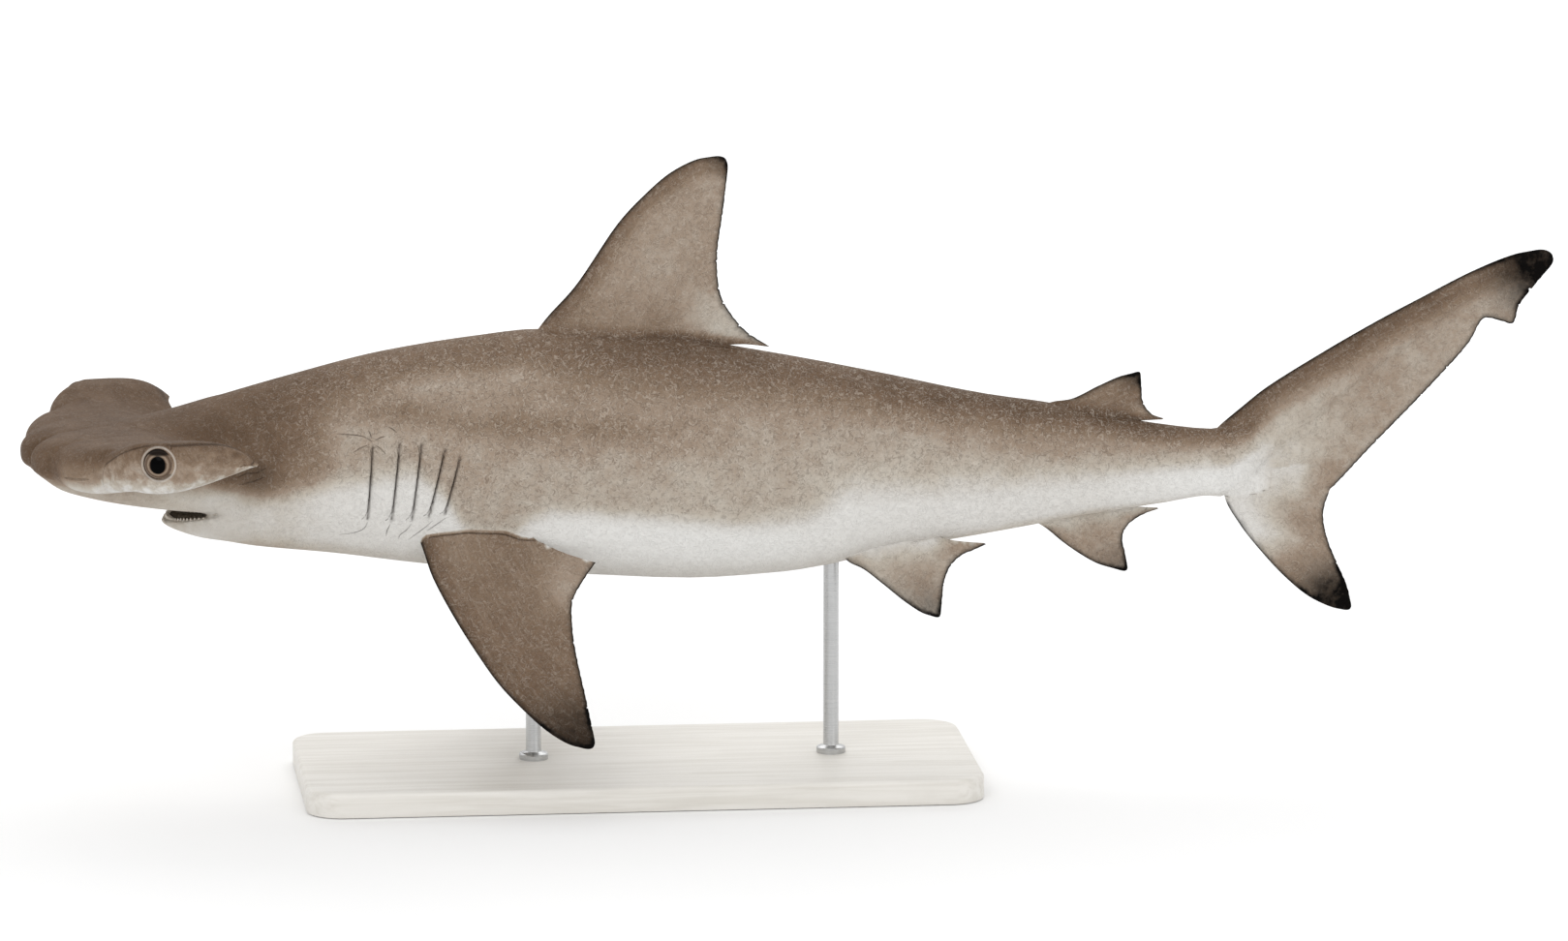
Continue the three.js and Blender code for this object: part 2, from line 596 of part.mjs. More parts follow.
function caudalFin() {
  const rings = evenly(STALK_END + SEAM, 960, 16).map((station) => bodyRing(
    station, TAIL_AXIS_WIDTH(station), TAIL_AXIS(station) + TAIL_AXIS_HALF(station),
    TAIL_AXIS(station) - TAIL_AXIS_HALF(station), TAIL_AXIS(station), 2, 2, 0, 16,
  ));
  return loft(rings).add(finSolid(UPPER_LOBE, uprightPlace)).add(finSolid(LOWER_LOBE, uprightPlace));
}

// Neck bend: the middle line is followed back from where the trunk is straight.
const BEND_TABLE = (() => {
  const table = [];
  let x = BEND_END;
  let y = 0;
  for (let station = BEND_END; station >= -20; station -= 0.5) {
    table.push([x, y]);
    const yaw = headTurn(station - 0.25) * HEAD_YAW;
    x -= 0.5 * Math.cos(yaw);
    y -= 0.5 * Math.sin(yaw);
  }
  return table;
})();

function headTurn(station) {
  return THREE.MathUtils.smoothstep(BEND_END - station, 0, BEND_END - BEND_START);
}

function bendNeck(p) {
  if (p.x >= BEND_END) return p;
  const steps = (BEND_END - p.x) / 0.5;
  const low = Math.min(Math.floor(steps), BEND_TABLE.length - 2);
  const t = steps - low;
  const cx = BEND_TABLE[low][0] * (1 - t) + BEND_TABLE[low + 1][0] * t;
  const cy = BEND_TABLE[low][1] * (1 - t) + BEND_TABLE[low + 1][1] * t;
  const yaw = HEAD_YAW * headTurn(p.x);
  return new THREE.Vector3(cx - p.y * Math.sin(yaw), cy + p.y * Math.cos(yaw), p.z);
}

const shark = new THREE.Group();

function largest(solid) {
  return solid.decompose().reduce((best, piece) => (piece.volume() > best.volume() ? piece : best));
}

function addNode(name, solid, material, bend = true) {
  const mesh = largest(solid).getMesh();
  const positions = new Float32Array(mesh.numVert * 3);
  const p = new THREE.Vector3();
  for (let i = 0; i < mesh.numVert; i += 1) {
    p.fromArray(mesh.vertProperties, i * mesh.numProp);
    const moved = bend ? bendNeck(p.clone()) : p.clone();
    positions.set([moved.x - STAND_STATION, moved.y, moved.z + (bend ? BODY_LEVEL : 0)], i * 3);
  }
  const geometry = new THREE.BufferGeometry();
  geometry.setAttribute('position', new THREE.BufferAttribute(positions, 3));
  geometry.setIndex(new THREE.BufferAttribute(new Uint32Array(mesh.triVerts), 1));
  const node = new THREE.Mesh(geometry, material);
  node.name = name;
  shark.add(node);
}

// Flat base with rounded corners and a chamfered top edge.
function standBase() {
  const shape = new THREE.Shape();
  const w = BASE_LENGTH / 2 - BASE_CHAMFER;
  const d = BASE_WIDTH / 2 - BASE_CHAMFER;
  const r = BASE_CORNER;
  shape.moveTo(-w + r, -d);
  shape.lineTo(w - r, -d);
  shape.absarc(w - r, -d + r, r, -Math.PI / 2, 0, false);
  shape.lineTo(w, d - r);
  shape.absarc(w - r, d - r, r, 0, Math.PI / 2, false);
  shape.lineTo(-w + r, d);
  shape.absarc(-w + r, d - r, r, Math.PI / 2, Math.PI, false);
  shape.lineTo(-w, -d + r);
  shape.absarc(-w + r, -d + r, r, Math.PI, Math.PI * 1.5, false);
  const geometry = new THREE.ExtrudeGeometry(shape, {
    depth: BASE_HEIGHT - 2 * BASE_CHAMFER, bevelThickness: BASE_CHAMFER, bevelSize: BASE_CHAMFER,
    bevelSegments: 1, curveSegments: 5,
  });
  geometry.translate(STAND_STATION, 0, BASE_CHAMFER);
  return fromGeometry(geometry);
}

function standRod(station) {
  const foot = BASE_HEIGHT + SEAM;
  const top = BODY_LEVEL - 30;
  const geometry = new THREE.CylinderGeometry(ROD_RADIUS, ROD_RADIUS, top - foot, 20);
  geometry.rotateX(Math.PI / 2);
  geometry.translate(station, 0, (top + foot) / 2);
  return fromGeometry(geometry).subtract(grownTrunk.translate([0, 0, BODY_LEVEL]));
}

const grownTrunk = trunk(HEAD_END, STALK_END, SEAM);

addNode('head', head(), BACK);
addNode('lower_jaw', lowerJaw(), FLANK);
addNode('eye_left', eyeBody(-1, EYE_RADIUS, EYE_DEPTH), EYE);
addNode('eye_right', eyeBody(1, EYE_RADIUS, EYE_DEPTH), EYE);
addNode('gill_region', gillRegion(HEAD_END + SEAM, GILL_END), FLANK);
addNode('torso_front', trunk(GILL_END + SEAM, TORSO_MIDDLE), BACK);
addNode('torso_rear', trunk(TORSO_MIDDLE + SEAM, TORSO_END), FLANK);
addNode('tail_stalk', trunk(TORSO_END + SEAM, STALK_END), BACK);
addNode('caudal_fin', caudalFin(), FIN);
addNode('first_dorsal_fin', upright(FIRST_DORSAL), FIN);
addNode('second_dorsal_fin', upright(SECOND_DORSAL), FIN);
addNode('anal_fin', upright(ANAL_FIN), FIN);
addNode('pectoral_fin_left', paired(PECTORAL, -1), FIN);
addNode('pectoral_fin_right', paired(PECTORAL, 1), FIN);
addNode('pelvic_fin_left', paired(PELVIC, -1), FIN);
addNode('pelvic_fin_right', paired(PELVIC, 1), FIN);
addNode('stand_base', standBase(), BASE, false);
Object.entries(ROD_STATIONS).forEach(([name, station]) => addNode(name, standRod(station), ROD, false));

export default shark;
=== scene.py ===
"""A young scalloped hammerhead shark, life size, held by a plain display stand.

The shark is shaped straight and in millimetres: x is the station behind the snout, y runs across
and z up from the body's own level line. The neck bend and the stand's place come last.
"""

import logging
import math
from dataclasses import dataclass, field
from enum import Enum
from functools import cache
from typing import Sequence

import bpy
import numpy as np
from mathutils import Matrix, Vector
from mathutils.bvhtree import BVHTree
from mathutils.geometry import delaunay_2d_cdt
from mathutils.kdtree import KDTree

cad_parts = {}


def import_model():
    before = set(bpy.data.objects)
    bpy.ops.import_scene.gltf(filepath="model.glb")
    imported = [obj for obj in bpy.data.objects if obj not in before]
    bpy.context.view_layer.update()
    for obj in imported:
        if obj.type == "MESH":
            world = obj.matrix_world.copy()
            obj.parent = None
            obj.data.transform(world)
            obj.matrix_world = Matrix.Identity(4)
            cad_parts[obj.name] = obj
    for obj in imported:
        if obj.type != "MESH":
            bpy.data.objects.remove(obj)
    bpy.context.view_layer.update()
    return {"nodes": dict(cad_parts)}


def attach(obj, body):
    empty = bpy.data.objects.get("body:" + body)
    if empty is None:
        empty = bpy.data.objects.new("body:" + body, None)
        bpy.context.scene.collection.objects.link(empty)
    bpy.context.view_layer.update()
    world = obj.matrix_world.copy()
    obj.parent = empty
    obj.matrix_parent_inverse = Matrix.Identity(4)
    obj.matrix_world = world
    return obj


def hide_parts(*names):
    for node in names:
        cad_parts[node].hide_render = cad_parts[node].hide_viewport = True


LOG = logging.getLogger("hammerhead")
Array = np.ndarray
Faces = list[tuple[int, ...]]
Thing, Mesh, Material = bpy.types.Object, bpy.types.Mesh, bpy.types.Material
Tree, Node, Socket = bpy.types.NodeTree, bpy.types.Node, bpy.types.NodeSocket
Pairs = Sequence[Sequence[float]]


class Side(Enum):
    """Side of the shark, as the sign of y."""

    LEFT = -1
    RIGHT = 1


class Stance(Enum):
    """How a fin's own plane stands in the body."""

    UPRIGHT = "upright"
    PAIRED = "paired"


def ease(value: Array, low: float, high: float) -> Array:
    """Soft step from 0 at low to 1 at high."""
    share = np.clip((np.asarray(value, float) - low) / (high - low), 0.0, 1.0)
    return share * share * (3 - 2 * share)


def lengths(rows: Array) -> Array:
    """Length of each row."""
    return np.linalg.norm(rows, axis=1)


def raised(flat: Array, height: Array | float) -> Array:
    """Points of a plane with a height as their third number."""
    return np.column_stack([flat, np.broadcast_to(height, len(flat))])


def travelled(line: Array) -> Array:
    """Distance along a line at each of its points."""
    return np.concatenate([[0], np.cumsum(lengths(np.diff(line, axis=0)))])


def circle(count: int, shift: float = 0.0) -> Array:
    """Angles that share a full turn evenly."""
    return 2 * math.pi * (np.arange(count) + shift) / count


def signed_power(value: Array, power: Array | float) -> Array:
    """Power that keeps the sign of its base."""
    return np.sign(value) * np.abs(value) ** power


def bump(value: Array, centre: Array | float, width: float) -> Array:
    """Bell of height 1 round a centre."""
    return np.exp(-(((value - centre) / width) ** 2))


class Profile:
    """Smooth line through [key, value] pairs, with no overshoot between them."""

    def __init__(self, pairs: Pairs) -> None:
        """Works out the slopes at the given pairs.

        Args:
            pairs: Keys in rising order, each with its value.
        """
        self.keys, self.values = np.array(pairs, float).T
        steps = np.diff(self.values) / np.diff(self.keys)
        self.slopes = np.empty(len(self.keys))
        self.slopes[0] = steps[0]
        self.slopes[-1] = steps[-1]
        before, after = steps[:-1], steps[1:]
        total = np.where(before + after == 0, 1.0, before + after)
        self.slopes[1:-1] = np.where(before * after <= 0, 0.0, 2 * before * after / total)

    def __call__(self, key: Array | float) -> Array:
        """Reads the line.

        Args:
            key: Where to read it; it is held inside the given keys.

        Returns:
            The values there.
        """
        at = np.clip(np.asarray(key, float), self.keys[0], self.keys[-1])
        i = np.clip(np.searchsorted(self.keys, at, side="left") - 1, 0, len(self.keys) - 2)
        width = self.keys[i + 1] - self.keys[i]
        t = (at - self.keys[i]) / width
        rise = t * t * (3 - 2 * t)
        enter = t * (1 - t) * (1 - t) * width
        leave = t * t * (t - 1) * width
        ends = self.values[i] * (1 - rise) + self.values[i + 1] * rise
        return ends + self.slopes[i] * enter + self.slopes[i + 1] * leave


def profile(pairs: Pairs) -> Profile:
    """Default of a dataclass field that holds a smooth line."""
    return field(default_factory=lambda: Profile(pairs))


@dataclass
class Form:
    """Points and faces of a working mesh, in millimetres."""

    points: Array
    faces: Faces

    def moved(self, shift: int) -> Faces:
        """Faces with every index raised by shift."""
        return [tuple(i + shift for i in face) for face in self.faces]

    def outward(self) -> "Form":
        """Turns every face over where the closed form is inside out.

        Returns:
            The form with its faces pointing out.
        """
        volume = 0.0
        for face in self.faces:
            first = self.points[face[0]]
            for b, c in zip(face[1:], face[2:]):
                volume += float(np.dot(first, np.cross(self.points[b], self.points[c])))
        if volume < 0:
            return Form(self.points, [face[::-1] for face in self.faces])
        return self


def joined(forms: Sequence[Form]) -> Form:
    """Puts forms side by side in one mesh.

    Args:
        forms: Forms to gather.

    Returns:
        One form with all their points and faces.
    """
    faces: Faces = []
    shift = 0
    for form in forms:
        faces.extend(form.moved(shift))
        shift += len(form.points)
    return Form(np.concatenate([form.points for form in forms]), faces)


def bands(count: int, sides: int, closed: bool) -> Faces:
    """Faces between neighbouring rings of points.

    Args:
        count: Number of rings.
        sides: Points on each ring.
        closed: True to join the last ring to the first.

    Returns:
        Four-sided faces.
    """
    faces = []
    for ring in range(count if closed else count - 1):
        near, far = ring * sides, (ring + 1) % count * sides
        for k in range(sides):
            after = (k + 1) % sides
            faces.append((near + k, near + after, far + after, far + k))
    return faces


def loft(rings: Array) -> Form:
    """Closed skin through rings of equally many points, with a fan over each end.

    Args:
        rings: Points as ring, point on the ring, and coordinate.

    Returns:
        The closed form.
    """
    count, sides, _ = rings.shape
    centres = rings[[0, -1]].mean(1)
    points = np.concatenate([rings.reshape(-1, 3), centres])
    faces = bands(count, sides, False)
    for hub, r in ((count * sides, 0), (count * sides + 1, count - 1)):
        for k in range(sides):
            pair = (r * sides + k, r * sides + (k + 1) % sides)
            faces.append((hub, pair[1], pair[0]) if r == 0 else (hub, *pair))
    return Form(points, faces).outward()


def ellipsoid(centre: Array, axes: Array, around: int = 48, upward: int = 24) -> Form:
    """Closed ellipsoid.

    Args:
        centre: Its middle.
        axes: Its three half axes, as rows.
        around: Points round its third axis.
        upward: Rings along its third axis.

    Returns:
        The closed form.
    """
    turn = circle(around)
    lift = math.pi * (np.arange(1, upward) / upward - 0.5)
    ring = np.stack([np.outer(np.cos(lift), np.cos(turn)), np.outer(np.cos(lift), np.sin(turn)),
                     np.outer(np.sin(lift), np.ones(around))], -1)
    form = loft(ring @ axes + centre)
    form.points[-2] = centre - axes[2]
    form.points[-1] = centre + axes[2]
    return form


def tube(path: Array, radius: Array, sides: int = 12, closed: bool = False) -> Form:
    """Round cord along a line of points.

    Args:
        path: Points of the line.
        radius: Radius at each point.
        sides: Points round the cord.
        closed: True for a ring.

    Returns:
        The closed form.
    """
    ahead = np.roll(path, -1, 0) - np.roll(path, 1, 0)
    if not closed:
        ahead[0] = path[1] - path[0]
        ahead[-1] = path[-1] - path[-2]
    ahead /= lengths(ahead)[:, None]
    first = np.cross(ahead, np.array([0.0, 0.0, 1.0]))
    weak = lengths(first) < 1e-3
    first[weak] = np.cross(ahead[weak], np.array([1.0, 0.0, 0.0]))
    first /= lengths(first)[:, None]
    for i in range(1, len(first)):
        if np.dot(first[i], first[i - 1]) < 0:
            first[i] *= -1
    second = np.cross(ahead, first)
    turn = circle(sides)
    rings = path[:, None] + radius[:, None, None] * (
        first[:, None] * np.cos(turn)[None, :, None] + second[:, None] * np.sin(turn)[None, :, None])
    if not closed:
        return loft(rings)
    return Form(rings.reshape(-1, 3), bands(len(path), sides, True)).outward()


class Workshop:
    """Makes, joins, cuts and reads working meshes."""

    @staticmethod
    def bench(name: str, form: Form) -> Thing:
        """Sets a form up as an object.

        Args:
            name: Name of the object.
            form: Its points and faces.

        Returns:
            The object, linked to the scene.
        """
        mesh = bpy.data.meshes.new(name)
        mesh.from_pydata(form.points.tolist(), [], form.faces)
        mesh.update()
        made = bpy.data.objects.new(name, mesh)
        bpy.context.scene.collection.objects.link(made)
        return made

    @staticmethod
    def settle(obj: Thing) -> Thing:
        """Turns an object's modifiers into plain mesh.

        Args:
            obj: Object with live modifiers.

        Returns:
            The same object, with its modifiers gone.
        """
        graph = bpy.context.evaluated_depsgraph_get()
        graph.update()
        mesh = bpy.data.meshes.new_from_object(obj.evaluated_get(graph))
        obj.modifiers.clear()
        old = obj.data
        obj.data = mesh
        bpy.data.meshes.remove(old)
        return obj

    @staticmethod
    def drop(obj: Thing) -> None:
        """Removes a working object and its mesh."""
        mesh = obj.data
        bpy.data.objects.remove(obj)
        bpy.data.meshes.remove(mesh)

    @classmethod
    def combine(cls, base: Thing, tool: Form, operation: str) -> Thing:
        """Joins a form to an object, or cuts the form out of it.

        Args:
            base: Object to change.
            tool: Closed form.
            operation: UNION or DIFFERENCE.

        Returns:
            The changed object.
        """
        other = cls.bench("tool", tool)
        change = base.modifiers.new("combine", "BOOLEAN")
        change.operation = operation
        change.solver = "MANIFOLD"
        change.object = other
        cls.settle(base)
        cls.drop(other)
        return base

    @staticmethod
    def read(items: Sequence, key: str, width: int = 3, kind: type = float) -> Array:
        """Reads one value of every item of a mesh as rows.

        Args:
            items: Points or edges of a mesh.
            key: Name of the value.
            width: Numbers in each value.
            kind: Type of the numbers.

        Returns:
            One row for each item.
        """
        flat = np.empty(len(items) * width, kind)
        items.foreach_get(key, flat)
        return flat.reshape(-1, width)

    @classmethod
    def points(cls, mesh: Mesh) -> Array:
        """A mesh's points as rows."""
        return cls.read(mesh.vertices, "co")

    @classmethod
    def normals(cls, mesh: Mesh) -> Array:
        """A mesh's vertex normals as rows."""
        return cls.read(mesh.vertices, "normal")

    @classmethod
    def edges(cls, mesh: Mesh) -> Array:
        """A mesh's edges as rows of two indices."""
        return cls.read(mesh.edges, "vertices", 2, np.int32)

    @staticmethod
    def faces(mesh: Mesh) -> Faces:
        """A mesh's faces as tuples of indices."""
        return [tuple(face.vertices) for face in mesh.polygons]

    @staticmethod
    def pull(points: Array, edges: Array) -> Array:
        """Way from each point to the middle of its neighbours.

        Args:
            points: Points of a mesh.
            edges: Its edges.

        Returns:
            One step for each point.
        """
        count = np.maximum(np.bincount(edges.ravel(), minlength=len(points)), 1)[:, None]
        total = np.empty_like(points)
        for axis in range(3):
            total[:, axis] = (np.bincount(edges[:, 0], points[edges[:, 1], axis], len(points))
                              + np.bincount(edges[:, 1], points[edges[:, 0], axis], len(points)))
        return total / count - points

    @classmethod
    def dressed(cls, name: str, form: Form, material: Material, sharp: float) -> Thing:
        """Sets a finished form up as a smooth object.

        Args:
            name: Name of the object.
            form: Its points and faces, in millimetres.
            material: Its finish.
            sharp: Angle from which an edge stays sharp, in degrees.

        Returns:
            The object, in metres.
        """
        made = cls.bench(name, Form(form.points / 1000, form.faces))
        made.data.materials.append(material)
        made.data.shade_smooth()
        made.data.set_sharp_from_angle(angle=math.radians(sharp))
        return made

    @staticmethod
    def set_points(mesh: Mesh, points: Array) -> None:
        """Writes a mesh's points back."""
        mesh.vertices.foreach_set("co", points.astype(np.float32).ravel())
        mesh.update()

    @staticmethod
    def mark(mesh: Mesh, name: str, rows: Array) -> None:
        """Stores a vector of three numbers at each point, for the finishes to read."""
        layer = mesh.attributes.new(name, "FLOAT_VECTOR", "POINT")
        layer.data.foreach_set("vector", rows.astype(np.float32).ravel())


@dataclass(frozen=True)
class NeckBend:
    """Turn of the head to the left, spread over the neck, and the shark's place over its stand."""

    start: float = 120.0
    end: float = 230.0
    yaw: float = math.radians(10.5)
    stand_station: float = 400.0
    body_level: float = 204.0

    def place(self, points: Array) -> Array:
        """Bends straight points at the neck and carries them over the stand.

        Args:
            points: Points of the straight shark, in millimetres.

        Returns:
            Points in the row frame, in metres.
        """
        grid = self.end - 0.5 * np.arange(520)
        middle = self.yaw * ease(self.end - (grid - 0.25), 0, self.end - self.start)
        ahead = self.end - 0.5 * np.concatenate([[0], np.cumsum(np.cos(middle[:-1]))])
        aside = -0.5 * np.concatenate([[0], np.cumsum(np.sin(middle[:-1]))])
        x, y, z = points.T
        yaw = self.yaw * ease(self.end - x, 0, self.end - self.start)
        cx = np.where(x < self.end, np.interp(-x, -grid, ahead), x)
        cy = np.where(x < self.end, np.interp(-x, -grid, aside), 0.0)
        placed = np.stack([cx - y * np.sin(yaw) - self.stand_station, cy + y * np.cos(yaw),
                           z + self.body_level], 1)
        return placed / 1000


@dataclass
class Trunk:
    """Body from the throat to the tail: outline above and below, half width and roundness."""

    top: Profile = profile([
        [100, 51], [138, 60.4], [176, 69.8], [237, 84.2], [297, 93], [335, 96.5], [415, 91], [491, 78],
        [554, 65], [631, 48], [669, 42], [745, 26], [776, 22.5], [800, 24]])
    belly: Profile = profile([
        [100, -30], [129, -36], [152, -40.7], [206, -47.5], [259, -55], [312, -61], [372, -65],
        [440, -68.5], [494, -66], [524, -62], [555, -55], [639, -42], [701, -32], [746, -26],
        [776, -22], [800, -24]])
    half: Profile = profile([
        [100, 44], [129, 41.5], [160, 42.5], [206, 46], [240, 49], [300, 51], [360, 52], [430, 51],
        [503, 45.5], [593, 36], [669, 25.5], [746, 16.5], [800, 12]])
    axis: Profile = profile([
        [786, 0], [800, 6], [840, 40], [900, 82], [960, 118]])
    axis_half: Profile = profile([
        [786, 22.6], [800, 18], [840, 13], [900, 8], [960, 3]])
    axis_width: Profile = profile([
        [786, 12.8], [800, 11.6], [840, 8], [900, 4.2], [960, 1.6]])
    widest: float = 0.45
    back_power: float = 1.85
    belly_power: float = 2.3

    def section(self, station: Array) -> tuple[Array, Array, Array, Array]:
        """Half width, widest level, and reach above and below it.

        Args:
            station: Stations to read.

        Returns:
            The four lines at those stations.
        """
        station = np.asarray(station, float)
        top, bottom = self.top(station), self.belly(station)
        middle = bottom + self.widest * (top - bottom)
        tail = ease(station, 770, 800)
        middle = middle * (1 - tail) + self.axis(station) * tail
        above = (top - middle) * (1 - tail) + self.axis_half(station) * tail
        below = (middle - bottom) * (1 - tail) + self.axis_half(station) * tail
        return self.half(station) * (1 - tail) + self.axis_width(station) * tail, middle, above, below

    def surface_half(self, station: Array, level: Array) -> Array:
        """Half width of the body at a station and level.

        Args:
            station: Stations to read.
            level: Heights to read.

        Returns:
            The half widths there.
        """
        half, middle, above, below = self.section(station)
        up = level > middle
        share = np.clip(np.where(up, (level - middle) / above, (middle - level) / below), 0, 1)
        power = np.where(up, self.back_power, self.belly_power)
        return half * (1 - share ** power) ** (1 / power)

    def clearance(self, points: Array) -> Array:
        """Rough distance of points from the trunk's surface.

        Args:
            points: Points of the straight shark.

        Returns:
            Distances, negative inside.
        """
        half, middle, above, below = self.section(points[:, 0])
        up = points[:, 2] > middle
        reach = np.where(up, above, below)
        power = np.where(up, self.back_power, self.belly_power)
        side = np.abs(points[:, 1]) / half
        rise = np.abs(points[:, 2] - middle) / reach
        ratio = (side ** power + rise ** power) ** (1 / power)
        length = np.hypot(points[:, 1], points[:, 2] - middle)
        return length * (1 - 1 / np.maximum(ratio, 1e-3))

    def share_down(self, points: Array) -> Array:
        """Share of the body's depth above each point: 0 on the back and 1 under the belly."""
        _, middle, above, below = self.section(points[:, 0])
        return (middle + above - points[:, 2]) / (above + below)

    def form(self) -> Form:
        """Builds the trunk and the root of the tail.

        Returns:
            The closed form of both, overlapping.
        """
        stations = np.arange(124.0, 790.0, 4.0)
        half, middle, above, below = self.section(stations)
        trunk = body_loft(stations, half, middle, above, below, self.back_power, self.belly_power)
        stations = np.arange(780.0, 961.0, 4.0)
        reach = self.axis_half(stations)
        tail = body_loft(stations, self.axis_width(stations), self.axis(stations), reach, reach,
                         2, 2, 48)
        return joined([trunk, tail])


def body_loft(stations: Array, half: Array, middle: Array, above: Array, below: Array,
              back_power: float, belly_power: float, sides: int = 96) -> Form:
    """Closed body through rounded sections.

    Args:
        stations: Station of each section.
        half: Half width of each section.
        middle: Widest level of each section.
        above: Reach above the widest level.
        below: Reach below it.
        back_power: Roundness of the upper part.
        belly_power: Roundness of the lower part.
        sides: Points round a section.

    Returns:
        The closed form.
    """
    turn = circle(sides, 0.5)
    up = np.sin(turn) >= 0
    power = 2 / np.where(up, back_power, belly_power)
    across = signed_power(np.cos(turn), power)
    lift = signed_power(np.sin(turn), power)
    reach = np.where(up[None], above[:, None], below[:, None])
    rings = np.stack([np.repeat(stations[:, None], sides, 1), half[:, None] * across,
                      middle[:, None] + reach * lift], -1)
    return loft(rings)


@dataclass
class Head:
    """Hammer-shaped head: snout, wings, lower jaw, mouth, eyes and nostrils."""

    front: Profile = profile([
        [0, 6.5], [6, 3.6], [14, 1.8], [21, 2.4], [29, 5.2], [34, 9.2], [40, 10.6], [47, 11.6],
        [56, 13.8], [65, 18.6], [71, 24.5], [77, 31.5], [84, 35.2], [92, 38], [98, 41.5],
        [107, 49.5], [116, 58.5], [122, 69], [126, 84], [127, 95]])
    rear: Profile = profile([
        [0, 150], [45, 139], [62, 128.5], [82, 122], [105, 121.5], [118, 124], [124, 125.5], [126, 113],
        [127, 100]])
    above: Profile = profile([
        [0, 12], [60, 12], [80, 11.5], [92, 12.5], [104, 15], [116, 15.8], [121, 13.5], [125, 8.5],
        [127, 1.5]])
    below: Profile = profile([
        [0, 12], [40, 15], [60, 17], [106, 18], [115, 17], [121, 13], [125, 7], [127, 1.5]])
    droop: Profile = profile([
        [0, 11], [40, 10], [70, 8.5], [84, 4], [100, 0.5], [127, 0]])
    nose: Profile = profile([
        [0, 26], [50, 22], [75, 16], [88, 15], [98, 14], [108, 11], [118, 8], [127, 4]])
    snout_top: Profile = profile([
        [8, 27], [20, 33], [60, 43], [100, 51], [138, 59.5], [150, 60]])
    snout_bottom: Profile = profile([
        [8, 14], [22, 4], [37.5, -1], [53, -4.8], [76, -9.2], [96, -12.2], [108, -13.7], [117, -16],
        [128, -18.4], [150, -22]])
    snout_half: Profile = profile([
        [8, 22], [22, 33], [50, 43], [80, 48], [105, 50], [120, 46], [136, 41], [150, 36]])
    snout_middle: Profile = profile([
        [8, 21], [60, 17], [105, 14], [150, 12]])
    jaw_half: Profile = profile([
        [91, 4], [93, 10], [96, 16], [100, 22], [107, 29.5], [117, 37], [126, 40], [140, 41]])
    jaw_middle: Profile = profile([
        [91, -21.5], [100, -18], [117, -10], [135, 8]])
    jaw_bottom: Profile = profile([
        [91, -23], [93.6, -25], [98.7, -27.5], [114, -32.8], [129, -36], [140, -38.4]])
    wing_level: float = 36.0
    wing_limit: float = 126.5
    eye_station: float = 62.8
    eye_out: float = 114.5
    eye_height: float = 38.6
    eye_radius: float = 10.4
    eye_depth: float = 7.4
    eye_turn: float = math.radians(25)
    socket_gap: float = 0.2

    def level(self, out: Array, share: Array) -> Array:
        """Height of the wing's middle sheet at a distance out and a share of the chord."""
        sag = 13.0 * (1 - ease(out, 58, 120)) * ease(share, 0.4, 1)
        return self.wing_level - self.droop(out) * (1 - share) ** 2 - sag

    def thickness(self, out: Array, behind: Array, chord: Array, upper: Array) -> Array:
        """Half thickness of the wing.

        Args:
            out: Distance from the middle.
            behind: Distance behind the front edge.
            chord: Length of the wing there.
            upper: True above the middle sheet.

        Returns:
            The half thickness.
        """
        full = np.where(upper, self.above(out), self.below(out))
        power = np.where(upper, 2.4, 3.0)
        nose = np.minimum(self.nose(out), 0.4 * chord)
        ahead = 1 - np.clip(behind / nose, 0, 1)
        tail = np.clip((behind - nose) / (chord - nose), 0, 1)
        front = (1 - ahead ** power) ** (1 / power)
        least = 1.4 + 2.5 * (1 - ease(out, 40, 75))
        fall = np.where(upper, 1.7 + 2.6 * ease(out, 85, 112), 1.7)
        rear = np.maximum(1 - tail ** fall, np.minimum(least / full, 1))
        rear = rear * np.sqrt(1 - np.clip((behind - chord + 2.4) / 2.4, 0, 1) ** 2)
        return full * np.where(behind < nose, front, rear)

    def wing(self, sides: int = 96) -> Form:
        """Builds both wings as one closed form.

        Args:
            sides: Points round a section.

        Returns:
            The closed form.
        """
        run = np.concatenate([
            np.arange(0, 100, 2.0), np.arange(100, 120, 1.0), np.arange(120, 127.01, 0.5)])
        across = np.concatenate([-run[:0:-1], run])
        out = np.abs(across)[:, None]
        front = self.front(out)
        chord = self.rear(out) - front
        turn = circle(sides)[None]
        share = ((1 - np.cos(turn)) / 2) ** 1.25
        upper = np.arange(sides)[None] < sides / 2
        half = self.thickness(out, share * chord, chord, upper) * np.where(upper, 1, -1)
        rings = np.stack([front + share * chord, np.repeat(across[:, None], sides, 1),
                          self.level(out, share) + half], -1)
        return loft(rings)

    def snout(self) -> Form:
        """Builds the middle of the head in front of the throat.

        Returns:
            The closed form.
        """
        at = np.arange(8.0, 151.0, 3.0)
        middle = self.snout_middle(at)
        return body_loft(at, self.snout_half(at), middle, self.snout_top(at) - middle,
                         middle - self.snout_bottom(at), 1.85, 3.0)

    def snout_under(self, station: Array, out: Array) -> Array:
        """Height of the snout's underside at a station and a distance out."""
        middle = self.snout_middle(station)
        share = np.clip(np.abs(out) / self.snout_half(station), 0, 1)
        return middle - (middle - self.snout_bottom(station)) * (1 - share ** 3) ** (1 / 3)

    def jaw(self) -> Form:
        """Builds the lower jaw, still closed above.

        Returns:
            The closed form.
        """
        at = np.concatenate([np.arange(91.0, 100.0, 1.0), np.arange(100.0, 136.0, 2.5)])
        middle = self.jaw_middle(at)
        return body_loft(at, self.jaw_half(at), middle, np.full(len(at), 12.0),
                         middle - self.jaw_bottom(at), 2.3, 2.3, 72)

